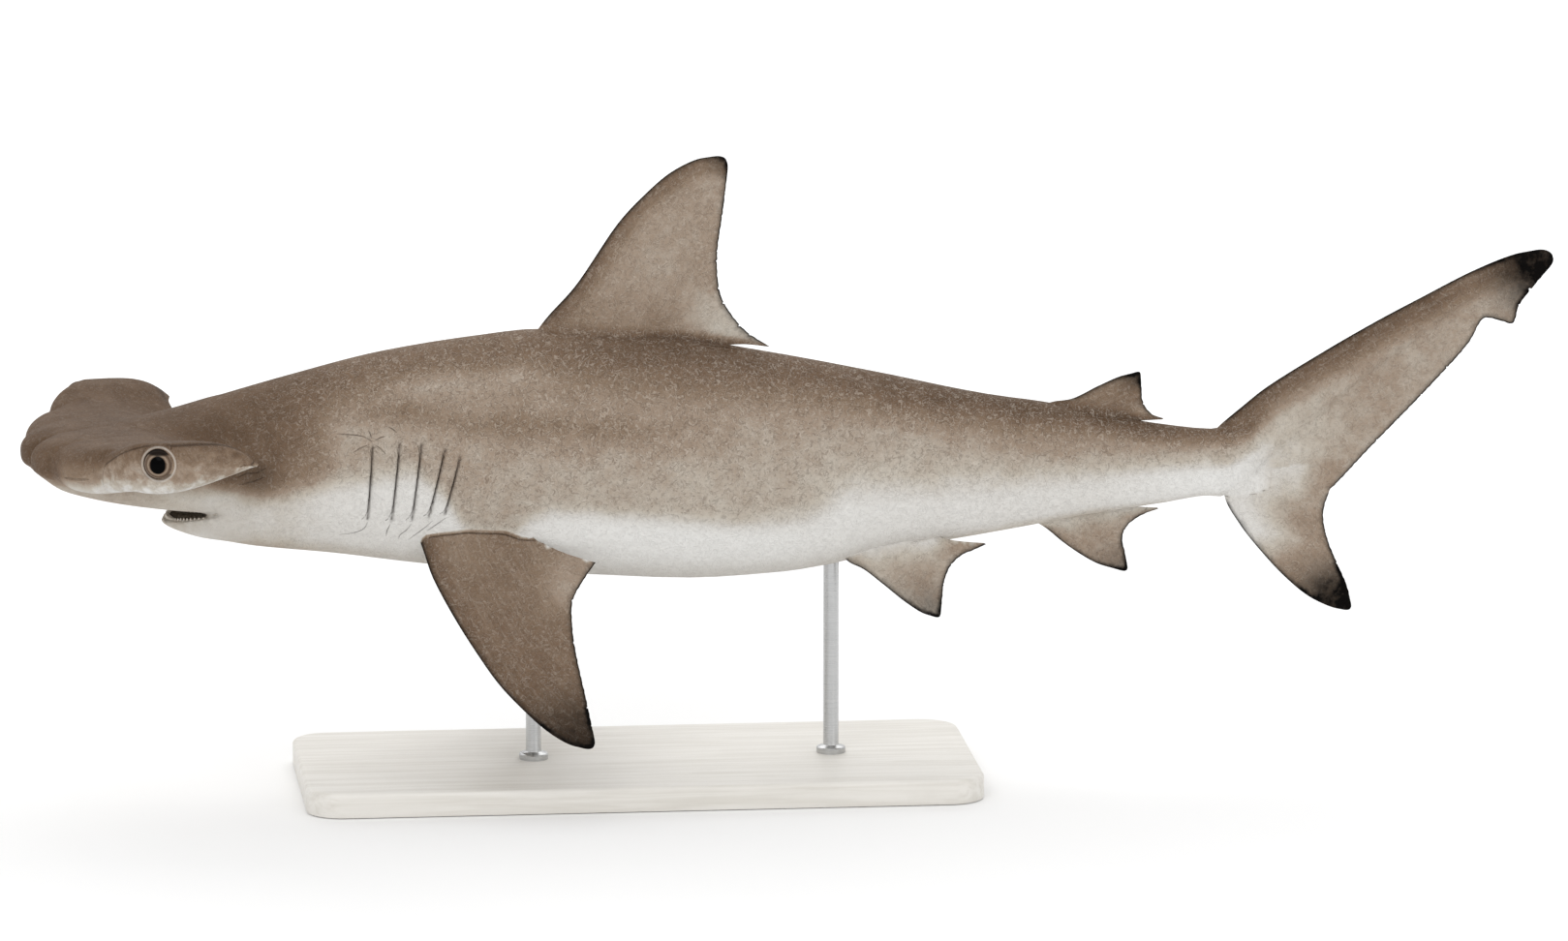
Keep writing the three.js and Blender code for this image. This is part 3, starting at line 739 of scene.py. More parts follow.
    @staticmethod
    def jaw_top(station: Array) -> Array:
        """Height of the lower jaw's rim at a station."""
        return -22.6 + (station - 86) / 33 * 8.6

    @staticmethod
    def jaw_arch(out: Array, inset: float) -> Array:
        """Station of the jaw's arch at a distance out."""
        return 91 + inset + 25 * (out / 36) ** 2

    def gape(self) -> Form:
        """Builds the wedge of space between the jaws."""
        outline = np.array([[86, -22.6], [126, -12.2], [126, 10], [86, 10]])
        rings = np.stack([np.insert(outline, 1, y, axis=1) for y in (-60.0, 60.0)])
        return loft(rings)

    def mouth_hollow(self) -> Form:
        """Builds the hollow of the mouth, behind the teeth.

        Returns:
            The closed cutter.
        """
        at = np.linspace(97.5, 122.5, 16)
        half = self.jaw_half(at - 2) - 5
        middle = np.full(len(at), -16.0)
        return body_loft(at, half, middle, np.full(len(at), 8.0), np.full(len(at), 10.0), 2.6, 2.6, 48)

    def eye_axes(self, side: Side) -> tuple[Array, Array, Array, Array]:
        """Middle of an eye and its directions along the margin, outwards and up.

        Args:
            side: Side of the head.

        Returns:
            The middle and three unit directions.
        """
        turn = self.eye_turn
        centre = np.array([self.eye_station, side.value * self.eye_out, self.eye_height])
        along = np.array([math.cos(turn), side.value * math.sin(turn), 0.0])
        look = np.array([-math.sin(turn), side.value * math.cos(turn), 0.0])
        return centre, along, look, np.array([0.0, 0.0, 1.0])

    def eye_form(self, side: Side, radius: float, depth: float, around: int = 48) -> Form:
        """Builds an eye body, a socket or the mound of the lids.

        Args:
            side: Side of the head.
            radius: Radius in the plane of the lids.
            depth: Reach outwards.
            around: Points round it.

        Returns:
            The closed form.
        """
        centre, along, look, up = self.eye_axes(side)
        axes = np.array([along * radius, up * radius, look * depth])
        return ellipsoid(centre, axes, around, around // 2)

    def socket_size(self) -> tuple[float, float]:
        """Radius and depth of an eye's socket."""
        return self.eye_radius + self.socket_gap, self.eye_depth + self.socket_gap

    def lid_ring(self, side: Side) -> Form:
        """Builds the raised ring of the lids round an eye.

        Args:
            side: Side of the head.

        Returns:
            The closed form.
        """
        centre, along, look, up = self.eye_axes(side)
        turn = circle(72)
        radius = self.eye_radius + 0.7
        ring = np.cos(turn)[:, None] * along + np.sin(turn)[:, None] * up
        return tube(centre + radius * ring + 1.3 * look, np.full(72, 1.0), 10, closed=True)

    def nostril_frame(self, side: Side) -> tuple[Array, Array]:
        """Middle of a nostril and its three half axes.

        Args:
            side: Side of the head.

        Returns:
            The middle, and the half axes as rows: along the margin, inwards and up.
        """
        sign, at = side.value, 76.5
        ahead = np.array([float(self.front(at + 4) - self.front(at - 4)), sign * 8.0, 0.0])
        ahead /= np.linalg.norm(ahead)
        inward = np.array([ahead[1] * sign, -ahead[0] * sign, 0.0])
        centre = np.array([float(self.front(at)) + 0.8, sign * at, float(self.level(at, 0.0)) - 11.5])
        return centre, np.array([ahead * 0.8, inward * 2.0, [0.0, 0.0, 1.1]])

    def nostril_cuts(self, side: Side) -> list[Form]:
        """Builds the hollow of a nostril and the groove that leads to it.

        Args:
            side: Side of the head.

        Returns:
            The two closed cutters.
        """
        centre, axes = self.nostril_frame(side)
        hole = ellipsoid(centre, axes, 32, 16)
        out = np.arange(56.0, 74.0, 1.5)
        path = np.stack([self.front(out) + 0.4, side.value * out, self.level(out, 0.0) - 5.5], 1)
        size = 0.85 * (0.3 + 0.7 * np.sin(math.pi * np.linspace(0, 1, len(out))) ** 0.5)
        return [hole, tube(path, size, 10)]

    def in_nostril(self, points: Array, side: Side) -> Array:
        """Tells which points lie on or in the hollow of a nostril.

        Args:
            points: Points of the straight shark.
            side: Side of the head.

        Returns:
            True for each such point.
        """
        centre, axes = self.nostril_frame(side)
        sizes = lengths(axes)
        gap = (points - centre) @ (axes / sizes[:, None]).T / sizes
        return lengths(gap) < 1.05

    def in_mouth(self, points: Array, normals: Array) -> Array:
        """Tells which points lie inside the mouth.

        Args:
            points: Points of the straight shark.
            normals: Normals there.

        Returns:
            True for each point inside.
        """
        x, y, z = points.T
        out = np.abs(y)
        span = (x > 92) & (x < 125.5)
        wide = np.maximum(self.jaw_half(x - 2) - 4.6, 0.5)
        hollow = (out / wide) ** 2.6 + (np.abs(z + 16) / 10.4) ** 2.6 < 1
        behind = (x - self.jaw_arch(out, 0) > 4.6) & (out < self.jaw_half(x) - 3)
        floor = (np.abs(z - self.jaw_top(x)) < 0.7) & behind
        roof = (z > self.jaw_top(x) + 0.7) & (z < 8) & (normals[:, 2] < 0.2) & behind
        wall = (np.abs(x - 126) < 0.7) & (z > -13) & (z < 10) & (out < self.jaw_half(126.0) - 5)
        return span & (hollow | floor | roof) | wall

    def relief(self, points: Array) -> Array:
        """Height of the soft ridges and furrows on top of the head.

        Args:
            points: Points of the straight shark.

        Returns:
            Heights in millimetres, zero away from the head.
        """
        x, y, z = points.T
        out = np.abs(y)
        behind = x - self.front(np.minimum(out, self.wing_limit))
        drift = np.clip(x - 10, 0, 70) * 0.1
        fade = (1 - ease(x, 35, 95)) * ease(z, 26, 36)
        height = np.zeros(len(points))
        for place, spread, depth in ((0, 2.4, 0.5), (33, 2.4, 0.45), (54, 2.2, 0.2), (76, 2.6, 0.6)):
            lane = (out - place - drift * (place > 0)) / spread
            height -= depth * np.exp(-(lane ** 2)) * fade
        for place, spread, rise in ((15, 6, 0.3), (44, 5, 0.25), (64, 5, 0.25)):
            height += rise * np.exp(-(((out - place - drift) / spread) ** 2)) * fade
        brim = (1 - ease(behind, 3, 15)) * (x < 60)
        for place, spread, depth in ((0, 2.6, 1.5), (34, 2.0, 0.5), (76, 2.2, 1.4)):
            height -= depth * np.exp(-(((out - place) / spread) ** 2)) * brim
        return height


@dataclass
class Gills:
    """Five gill slits on each side: station, lean, top and bottom of each."""

    slits: tuple[tuple[float, float, float, float], ...] = (
        (223.5, 0.075, 30, -18), (240, 0.11, 32, -19), (253.5, 0.13, 31.5, -18.5),
        (266.5, 0.24, 27.5, -16), (277, 0.27, 22, -14.5))
    middle: float = 6.0
    flap_rise: float = 1.7
    depth: float = 6.0

    def lean(self, station: Array) -> Array:
        """Lean of the flaps at a station."""
        keys = [[205, 0.0]] + [[s[0], s[1]] for s in self.slits] + [[292, 0.0]]
        return Profile(keys)(station)

    def flap(self, points: Array) -> Array:
        """Rise of the gill flaps towards their rear edges.

        Args:
            points: Points of the straight shark.

        Returns:
            Heights in millimetres.
        """
        level = np.clip(points[:, 2], -30, 40) - self.middle
        line = points[:, 0] - self.lean(points[:, 0]) * level
        start = 208.0
        rise = np.zeros(len(points))
        for slit in self.slits:
            share = (line - start) / (slit[0] + 1.0 - start)
            rise = np.where((share > 0) & (share <= 1), np.clip(share, 0, 1) ** 1.7, rise)
            start = slit[0] + 1.0
        window = ease(26 - np.abs(points[:, 2] - self.middle), 0, 10)
        side = ease(np.abs(points[:, 1]), 20, 34)
        return self.flap_rise * rise * window * side

    def line_at(self, slit: tuple[float, float, float, float], level: Array) -> Array:
        """Station of a slit's opening at a level."""
        return slit[0] + slit[1] * (level - self.middle) + 1.0

    def cut(self, trunk: Trunk, slit: tuple[float, float, float, float], side: Side) -> Form:
        """Builds the thin slanted blade that opens one slit.

        Args:
            trunk: Body that the slit opens.
            slit: Station, lean, top and bottom.
            side: Side of the body.

        Returns:
            The closed cutter.
        """
        station, lean, top, bottom = slit
        level = np.linspace(bottom, top, 25)
        bow = np.sin(math.pi * np.linspace(0, 1, len(level)))
        at = station + lean * (level - self.middle)
        surface = trunk.surface_half(np.full(len(level), station), level)
        inner = surface - 1 - self.depth * bow ** 0.5
        outer = surface + 4
        gape = 0.22 + 0.26 * bow
        corners = [(at + 2 - gape, outer), (at + 2 + gape, outer), (at - 3.1, inner), (at - 3.7, inner)]
        rings = np.stack([np.stack([x, side.value * y, level], 1) for x, y in corners], 1)
        return loft(rings)


@dataclass(frozen=True)
class Crease:
    """Fine fold in the skin: its line over station and level, its reach to the sides, its size and the
    strength of the painted shade in it.
    """

    line: tuple[tuple[float, float], ...]
    aside: float = 45.0
    radius: float = 0.5
    depth: float = 0.45
    shade: float = 0.42


CREASES: tuple[Crease, ...] = (
    Crease(((226, 33), (221, 36.5), (212, 38.5), (202, 39.5))),
    Crease(((224, 31), (219, 29.5), (213, 26))),
    Crease(((225.5, 35.5), (225, 38), (223.5, 41))),
    Crease(((228.5, 34), (231, 35.8), (235, 36.5))),
    Crease(((228, 30.5), (231, 29), (235, 24.5))),
    Crease(((242, 38.5), (240, 41), (236.5, 43))),
    Crease(((222.5, -20.5), (220.5, -26), (214, -31), (203, -35))),
    Crease(((237.5, -21.5), (235, -28), (234.5, -33))),
    Crease(((251, -21.5), (247.5, -27), (243, -32), (242.5, -36))),
    Crease(((264.5, -19), (261, -23), (254, -30), (249, -36))),
    Crease(((273, -17), (268, -21), (261, -27))),
    Crease(((131, 12), (138, 14.5), (145, 15), (151, 18)), radius=0.7, depth=0.5),
    Crease(((134, 7.5), (141, 9), (149, 11.5)), radius=0.6, depth=0.5),
    Crease(((445, 82.5), (452, 82.6), (460, 83), (466, 83.6)), aside=6.0, radius=0.9, depth=0.8,
           shade=0.8),
)


@dataclass
class Fin:
    """One fin in its own plane: edges from the root to the tip, root line, thickness and shades."""

    name: str
    lead: Pairs
    trail: Pairs
    base: Pairs
    thickness: float
    shade: float
    root_shade: float
    tip_dark: float
    tip_from: float
    edge_dark: float = 1.0
    pitch: float = 0.0
    droop: float = 0.0
    origin: tuple[float, float, float] = (0.0, 0.0, 0.0)
    stance: Stance = Stance.UPRIGHT
    side: Side = Side.LEFT
    nicks: Pairs = ()
    lead_shade: float = 0.3
    lead_band: float = 12.0
    lead_fade: float = 2.0
    tip_full: float = 0.94
    rear_shade: float = 0.5
    calm: tuple[float, float] = (-1000.0, 1000.0)
    flare: float = 6.0
    flare_to: float = 0.58
    step: float = 2.6
    edge: float = 0.6

    def __post_init__(self) -> None:
        """Samples the two edges and closes the outline."""
        self.lead_line = smooth_line(self.lead, 1.1)
        self.trail_line = self.nicked(smooth_line(self.trail, 0.7))
        self.round_tip()
        share = np.linspace(0, 1, 40)
        a, b = self.lead_line[0], self.trail_line[0]
        self.root_line = a + share[:, None] * (b - a)
        self.root_line[:, 1] += Profile(self.base)(share)
        self.outline = np.concatenate([
            self.lead_line, self.trail_line[::-1][1:], self.root_line[::-1][1:-1]])
        if self.stance is Stance.PAIRED:
            pitch, droop = math.radians(self.pitch), math.radians(self.droop)
            along = np.array([math.cos(pitch), 0.0, math.sin(pitch)])
            out = np.array([0.0, self.side.value * math.cos(droop), -math.sin(droop)])
            out -= along * np.dot(out, along)
            out /= np.linalg.norm(out)
            station, half, level = self.origin
            self.foot = np.array([station, self.side.value * half, level])
            self.axes = np.array([along, out, np.cross(along, out)])
        else:
            self.foot = np.zeros(3)
            self.axes = np.array([[1.0, 0.0, 0.0], [0.0, 0.0, 1.0], [0.0, 1.0, 0.0]])

    def round_tip(self) -> None:
        """Carries the leading edge round to the trailing edge in a smooth arc."""
        a, b = self.lead_line[-1], self.trail_line[-1]
        ahead = a - self.lead_line[-4]
        back = b - self.trail_line[-6]
        reach = 0.62 * np.linalg.norm(b - a)
        c = a + reach * ahead / np.linalg.norm(ahead)
        d = b + reach * back / np.linalg.norm(back)
        t = np.linspace(0, 1, 12)[1:-1, None]
        arc = (1 - t) ** 3 * a + 3 * (1 - t) ** 2 * t * c + 3 * (1 - t) * t * t * d + t ** 3 * b
        self.lead_line = np.concatenate([self.lead_line, arc[:6]])
        self.trail_line = np.concatenate([self.trail_line, arc[:5:-1]])

    def nicked(self, line: Array) -> Array:
        """Cuts small nicks into the trailing edge.

        Args:
            line: Points of the edge from the root to the tip.

        Returns:
            The edge with its nicks.
        """
        arc = travelled(line)
        ahead = np.gradient(line, axis=0)
        inward = np.stack([-ahead[:, 1], ahead[:, 0]], 1)
        inward /= lengths(inward)[:, None]
        middle = np.mean(self.lead_line, axis=0) - line.mean(0)
        inward *= np.sign(np.sum(inward * middle, axis=1))[:, None]
        cut = np.zeros(len(line))
        for share, depth, width in self.nicks:
            cut = np.maximum(cut, depth * np.exp(-(((arc - share * arc[-1]) / width) ** 2)))
        ripple = 0.16 * np.sin(arc * 1.15) * np.sin(arc * 0.31 + 1.0)
        return line + inward * (cut + ripple * ease(arc, 2, 8) * ease(arc[-1] - arc, 2, 8))[:, None]

    def flat(self, points: Array) -> Array:
        """Carries points of the body into the fin's own plane and height off it."""
        return (points - self.foot) @ self.axes.T

    def place(self, flat: Array) -> Array:
        """Carries points of the fin's own plane into the body."""
        return flat @ self.axes + self.foot

    def spans(self, flat: Array) -> tuple[Array, Array, Array]:
        """Distances of points from the leading edge, the trailing edge and the root line."""
        return (line_distance(flat, self.lead_line), line_distance(flat, self.trail_line),
                line_distance(flat, self.root_line))

    def upness(self, flat: Array) -> Array:
        """Share of the way from the root to the tip."""
        tip = 0.5 * (self.lead_line[-1] + self.trail_line[-1])
        to_root = line_distance(flat, self.root_line)
        return to_root / (to_root + lengths(flat[:, :2] - tip) + 1e-6)

    def half_thickness(self, flat: Array, trunk: Trunk) -> Array:
        """Half thickness of the fin, rounded at its rim and flared at its root.

        Args:
            flat: Points in the fin's plane.
            trunk: Body that carries the fin.

        Returns:
            The half thicknesses.
        """
        lead, trail, _ = self.spans(flat)
        across = lead / (lead + trail + 1e-6)
        crest = np.where(across < 0.27, (across / 0.27) ** 0.6, ((1 - across) / 0.73) ** 1.15)
        taper = 0.12 + 0.88 * (1 - self.upness(flat)) ** 1.25
        half = 0.5 * (self.edge + self.thickness * taper * crest)
        rim = np.minimum(lead, trail)
        full = np.sqrt(1 - (1 - np.clip(rim / 1.3, 0, 1)) ** 2)
        level = raised(flat[:, :2], 0.0)
        gap = np.clip(trunk.clearance(self.place(level)), 0, self.flare)
        root = self.flare * (1 - np.sqrt(1 - (1 - gap / self.flare) ** 2))
        hold = 1 - ease(across, self.flare_to - 0.12, self.flare_to)
        return half * full + np.minimum(root, 0.62 * self.flare) * hold * ease(rim, 0, 2.5)

    def form(self, trunk: Trunk) -> Form:
        """Builds the fin as a closed plate with rounded rims.

        Args:
            trunk: Body that carries the fin.

        Returns:
            The closed form.
        """
        outline = self.outline
        after = np.roll(outline, -1, 0)
        ahead = after - np.roll(outline, 1, 0)
        area = np.sum(outline[:, 0] * after[:, 1] - outline[:, 1] * after[:, 0])
        inward = np.stack([-ahead[:, 1], ahead[:, 0]], 1) * (1 if area > 0 else -1)
        inward /= lengths(inward)[:, None]
        rows = [outline[::2] + inward[::2] * gap for gap in (0.5, 1.4)]
        low, high = outline.min(0), outline.max(0)
        xs = np.arange(low[0], high[0], self.step)
        zs = np.arange(low[1], high[1], self.step * 0.87)
        grid = np.array([[x + (j % 2) * self.step / 2, z] for j, z in enumerate(zs) for x in xs])
        around = np.concatenate([outline, outline[:1]])
        rim = line_distance(grid, around)
        grid = grid[inside(grid, outline) & (rim > 2.3)]
        near = np.concatenate(rows)
        rim = line_distance(near, around)
        near = near[inside(near, outline) & (rim > 0.4)]
        flat = np.concatenate([outline, near, grid])
        count = len(outline)
        result = delaunay_2d_cdt([Vector(p) for p in flat], [], [list(range(count))], 1, 1e-5)
        flat = np.array([(p.x, p.y) for p in result[0]])
        on_rim = line_distance(flat, around) < 1e-3
        half = self.half_thickness(raised(flat, 0.0), trunk)
        half = np.where(on_rim, 0, np.maximum(half, 0.12))
        lower = np.arange(len(flat))
        lower[~on_rim] = len(flat) + np.arange(np.count_nonzero(~on_rim))
        points = np.concatenate([
            self.place(raised(flat, half)),
            self.place(raised(flat, -half))[~on_rim]])
        faces: Faces = []
        for face in result[2]:
            faces.append(tuple(face))
            faces.append(tuple(int(lower[i]) for i in reversed(face)))
        return Form(points, faces).outward()

    def paint(self, points: Array, trunk: Trunk) -> tuple[Array, Array, Array, Array]:
        """Shades of the fin at points of the skin.

        Args:
            points: Points of the straight shark.
            trunk: Body that carries the fin.

        Returns:
            How much each point belongs to the fin, its tone, its darkness, and its place across
            and along the fin's rays.
        """
        flat = self.flat(points)
        low, high = self.outline.min(0) - 2, self.outline.max(0) + 2
        near = np.all((flat[:, :2] > low) & (flat[:, :2] < high), 1) & (np.abs(flat[:, 2]) < 14)
        count = len(points)
        mask, tone, dark = np.zeros(count), np.zeros(count), np.zeros(count)
        rays = np.zeros((count, 2))
        index = np.flatnonzero(near)
        if not len(index):
            return mask, tone, dark, rays
        part = flat[index]
        lead, trail, _ = self.spans(part)
        rim = np.minimum(lead, trail)
        keep = inside(part[:, :2], self.outline) | (rim < 0.8)
        clear = trunk.clearance(points[index])
        if self.stance is Stance.PAIRED:
            away = ease(clear, 0.0, 1.4)
        else:
            away = np.maximum(ease(clear, 0.5, 7), ease(points[index, 0], 792, 822))
        hold = np.where(keep, away, 0)
        up = self.upness(part)
        mask[index] = hold
        middle = self.root_shade + (self.shade - self.root_shade) * ease(up, 0.0, 0.45)
        inner = ease(lead, 0.12 * self.lead_band, self.lead_band)
        inner = np.maximum(inner, ease(up, 0.3, 0.3 + self.lead_fade))
        tone[index] = self.lead_shade + (middle - self.lead_shade) * inner
        tip = self.tip_dark * ease(up, self.tip_from, self.tip_full)
        free = ease(lead / (lead + trail + 1e-6), 0.62, 0.9) * (1 - ease(up, 0.16, 0.4))
        tone[index] += (self.rear_shade - tone[index]) * free
        low, high = self.calm
        line = self.edge_dark * np.exp(-((rim / 1.5) ** 2))
        line *= ease(part[:, 1], low, low + 4) * (1 - ease(part[:, 1], high - 4, high))
        dark[index] = np.clip(tip + line, 0, 1) * hold
        rays[index] = np.stack([lead, lengths(part[:, :2] - self.root_line[0])], 1)
        return mask, tone, dark, rays


def smooth_line(pairs: Pairs, step: float) -> Array:
    """Centripetal curve through points, sampled evenly.

    Args:
        pairs: Points of the line.
        step: Rough distance between samples.

    Returns:
        The samples.
    """
    knots = np.array(pairs, float)
    padded = np.concatenate([[2 * knots[0] - knots[1]], knots, [2 * knots[-1] - knots[-2]]])
    samples = []
    for i in range(1, len(padded) - 2):
        p = padded[i - 1:i + 3]
        gap = np.maximum(lengths(np.diff(p, axis=0)) ** 0.5, 1e-6)
        t = np.concatenate([[0], np.cumsum(gap)])
        u = np.linspace(t[1], t[2], 24, endpoint=False)[:, None]
        a = [(t[k + 1] - u) / gap[k] * p[k] + (u - t[k]) / gap[k] * p[k + 1] for k in range(3)]
        b = [(t[k + 2] - u) / (t[k + 2] - t[k]) * a[k] + (u - t[k]) / (t[k + 2] - t[k]) * a[k + 1]
             for k in range(2)]
        samples.append((t[2] - u) / gap[1] * b[0] + (u - t[1]) / gap[1] * b[1])
    dense = np.concatenate([*samples, knots[-1:]])
    arc = travelled(dense)
    even = np.linspace(0, arc[-1], max(3, round(arc[-1] / step)))
    return np.stack([np.interp(even, arc, dense[:, 0]), np.interp(even, arc, dense[:, 1])], 1)


def line_distance(flat: Array, line: Array) -> Array:
    """Distance of points from an open line.

    Args:
        flat: Points; only the first two coordinates count.
        line: Points of the line.

    Returns:
        The distances.
    """
    best = np.full(len(flat), np.inf)
    a, d = line[:-1], np.diff(line, axis=0)
    size = np.maximum(np.sum(d * d, axis=1), 1e-12)
    for start in range(0, len(flat), 4000):
        p = flat[start:start + 4000, None, :2]
        t = np.clip(np.sum((p - a) * d, axis=2) / size, 0, 1)
        gap = p - a - t[..., None] * d
        best[start:start + 4000] = np.sqrt(np.min(np.sum(gap * gap, axis=2), axis=1))
    return best


def inside(flat: Array, outline: Array) -> Array:
    """Tells which points lie inside a closed outline.

    Args:
        flat: Points in the plane.
        outline: Corners of the outline.

    Returns:
        True for each point inside.
    """
    result = np.zeros(len(flat), bool)
    x, z = flat[:, 0], flat[:, 1]
    for a, b in zip(outline, np.roll(outline, -1, 0)):
        if a[1] == b[1]:
            continue
        crosses = (a[1] > z) != (b[1] > z)
        result ^= crosses & (x < (b[0] - a[0]) * (z - a[1]) / (b[1] - a[1]) + a[0])
    return result


def all_fins() -> list[Fin]:
    """Lists the fins with their outlines and shades.

    Returns:
        The fins, each ready to build.
    """
    root = [[0, 0], [1, 0]]
    pectoral = dict(
        lead=[[-3, -16], [1, 4], [4, 20], [14, 49], [26, 77], [38, 101], [51, 120], [64, 136],
              [77, 147], [86, 151]],
        trail=[[110, 23], [101, 34], [92, 48], [89.5, 66], [89.5, 84], [92, 117], [94, 145]],
        base=[[0, 0], [0.5, -17.5], [0.6, -12], [0.67, -8], [0.75, -4.5], [0.87, -1.5], [1, 0]],
        thickness=11, shade=0.17, root_shade=0.3, lead_shade=0.08, lead_band=16.0, tip_dark=0.85,
        tip_from=0.55, pitch=5, droop=55, origin=(258, 42, -38), stance=Stance.PAIRED,
        nicks=((0.24, 0.7, 0.5), (0.47, 0.8, 0.5), (0.70, 0.5, 0.4), (0.83, 0.9, 0.5), (0.93, 0.6, 0.4)))
    pelvic = dict(
        lead=[[-4, -9], [2, 2], [10, 9], [20, 22], [31, 37], [40, 47], [46, 51]],
        trail=[[93, 11], [84, 13], [74, 15], [65, 21], [59, 30], [55, 41], [52, 50]],
        base=[[0, 0], [0.45, -14], [0.62, -8], [0.8, -2.5], [1, 0]],
        thickness=5.5, shade=0.52, root_shade=0.92, lead_shade=0.6, tip_dark=0.5, tip_from=0.35,
        pitch=12, droop=60, origin=(535, 20, -56), stance=Stance.PAIRED, flare=4.0,
        nicks=((0.45, 0.6, 0.5), (0.68, 0.5, 0.4)))
    return [
        Fin("first_dorsal",
            [[324, 78], [342, 103], [361, 124], [390, 166], [406, 183], [423, 197.5], [440, 206],
             [450, 207.8]],
            [[488, 82], [471, 94], [457, 114], [454, 128], [454, 147], [457.5, 172], [460.5, 197]],
            [[0, 0], [0.62, -6], [0.75, 2], [0.88, 2.5], [1, 0]], 11, shade=0.5, root_shade=0.34,
            lead_shade=0.16, lead_band=16.0, tip_dark=0.6, tip_from=0.86, flare=8.0,
            rear_shade=0.66, tip_full=1.0,
            nicks=((0.12, 0.8, 0.4), (0.19, 1.3, 0.5), (0.33, 1.5, 0.45), (0.41, 1.0, 0.4),
                   (0.55, 0.9, 0.4), (0.60, 0.7, 0.4), (0.78, 0.6, 0.4), (0.9, 0.5, 0.4))),
        Fin("second_dorsal",
            [[655, 32], [671, 41.5], [686, 44], [703, 52], [717, 58], [725, 60]],
            [[748, 29], [738, 33], [732.5, 41], [731.5, 51], [731, 58.5]],
            [[0, 0], [0.6, -5], [0.78, -1.5], [1, 0]], 5, shade=0.25, root_shade=0.25,
            tip_dark=0.85, tip_from=0.5, edge_dark=0.9, flare=4.0, nicks=((0.5, 0.6, 0.4),)),
        Fin("anal",
            [[650, -31], [668, -41], [680, -51], [691, -59], [703, -66], [715, -70]],
            [[745, -29.8], [732, -34.5], [723, -41], [719.5, -49], [721.5, -60], [723, -68]],
            [[0, 0], [0.6, 7], [0.78, 2], [1, 0]], 5, shade=0.5, root_shade=0.86,
            lead_shade=0.5, tip_dark=0.55, tip_from=0.4, flare=4.0, nicks=((0.55, 0.6, 0.4),)),
        Fin("upper_lobe",
            [[776, 17], [784, 25], [797.5, 36.2], [813, 48.4], [854, 73.5], [887, 92], [916, 107],
             [950, 124], [976, 134], [991, 136.8]],
            [[800, -26], [842, -30], [855, -21], [882, 7], [921, 47], [947, 76], [957, 92],
             [967, 90.5], [976, 88.5], [980, 100], [991, 114.5], [1000, 125]],
            root, 5.5, shade=0.54, root_shade=0.74, lead_shade=0.08, lead_band=23.0, calm=(-22, 1000),
            tip_dark=1.0, tip_from=0.76,
            nicks=((0.93, 2.0, 0.5), (0.885, 0.8, 0.4), (0.62, 0.9, 0.4), (0.53, 0.8, 0.4),
                   (0.45, 0.6, 0.4), (0.38, 0.5, 0.4))),
        Fin("lower_lobe",
            [[787, -8], [787, -24], [797, -42], [811, -60], [827, -77.5], [843, -91], [858, -98.5],
             [866, -100.5]],
            [[866, 0], [856, -21], [852, -36], [855, -53], [861, -68], [868, -84], [871, -96]],
            root, 5.5, shade=0.42, root_shade=0.8, lead_shade=0.86, lead_band=36.0, lead_fade=0.28,
            calm=(-1000, -20), tip_dark=1.0, tip_from=0.52, tip_full=0.86,
            nicks=((0.72, 0.8, 0.4), (0.5, 0.6, 0.4))),
        *(Fin(f"pectoral_{side.name.lower()}", side=side, **pectoral) for side in Side),
        *(Fin(f"pelvic_{side.name.lower()}", side=side, **pelvic) for side in Side),
    ]


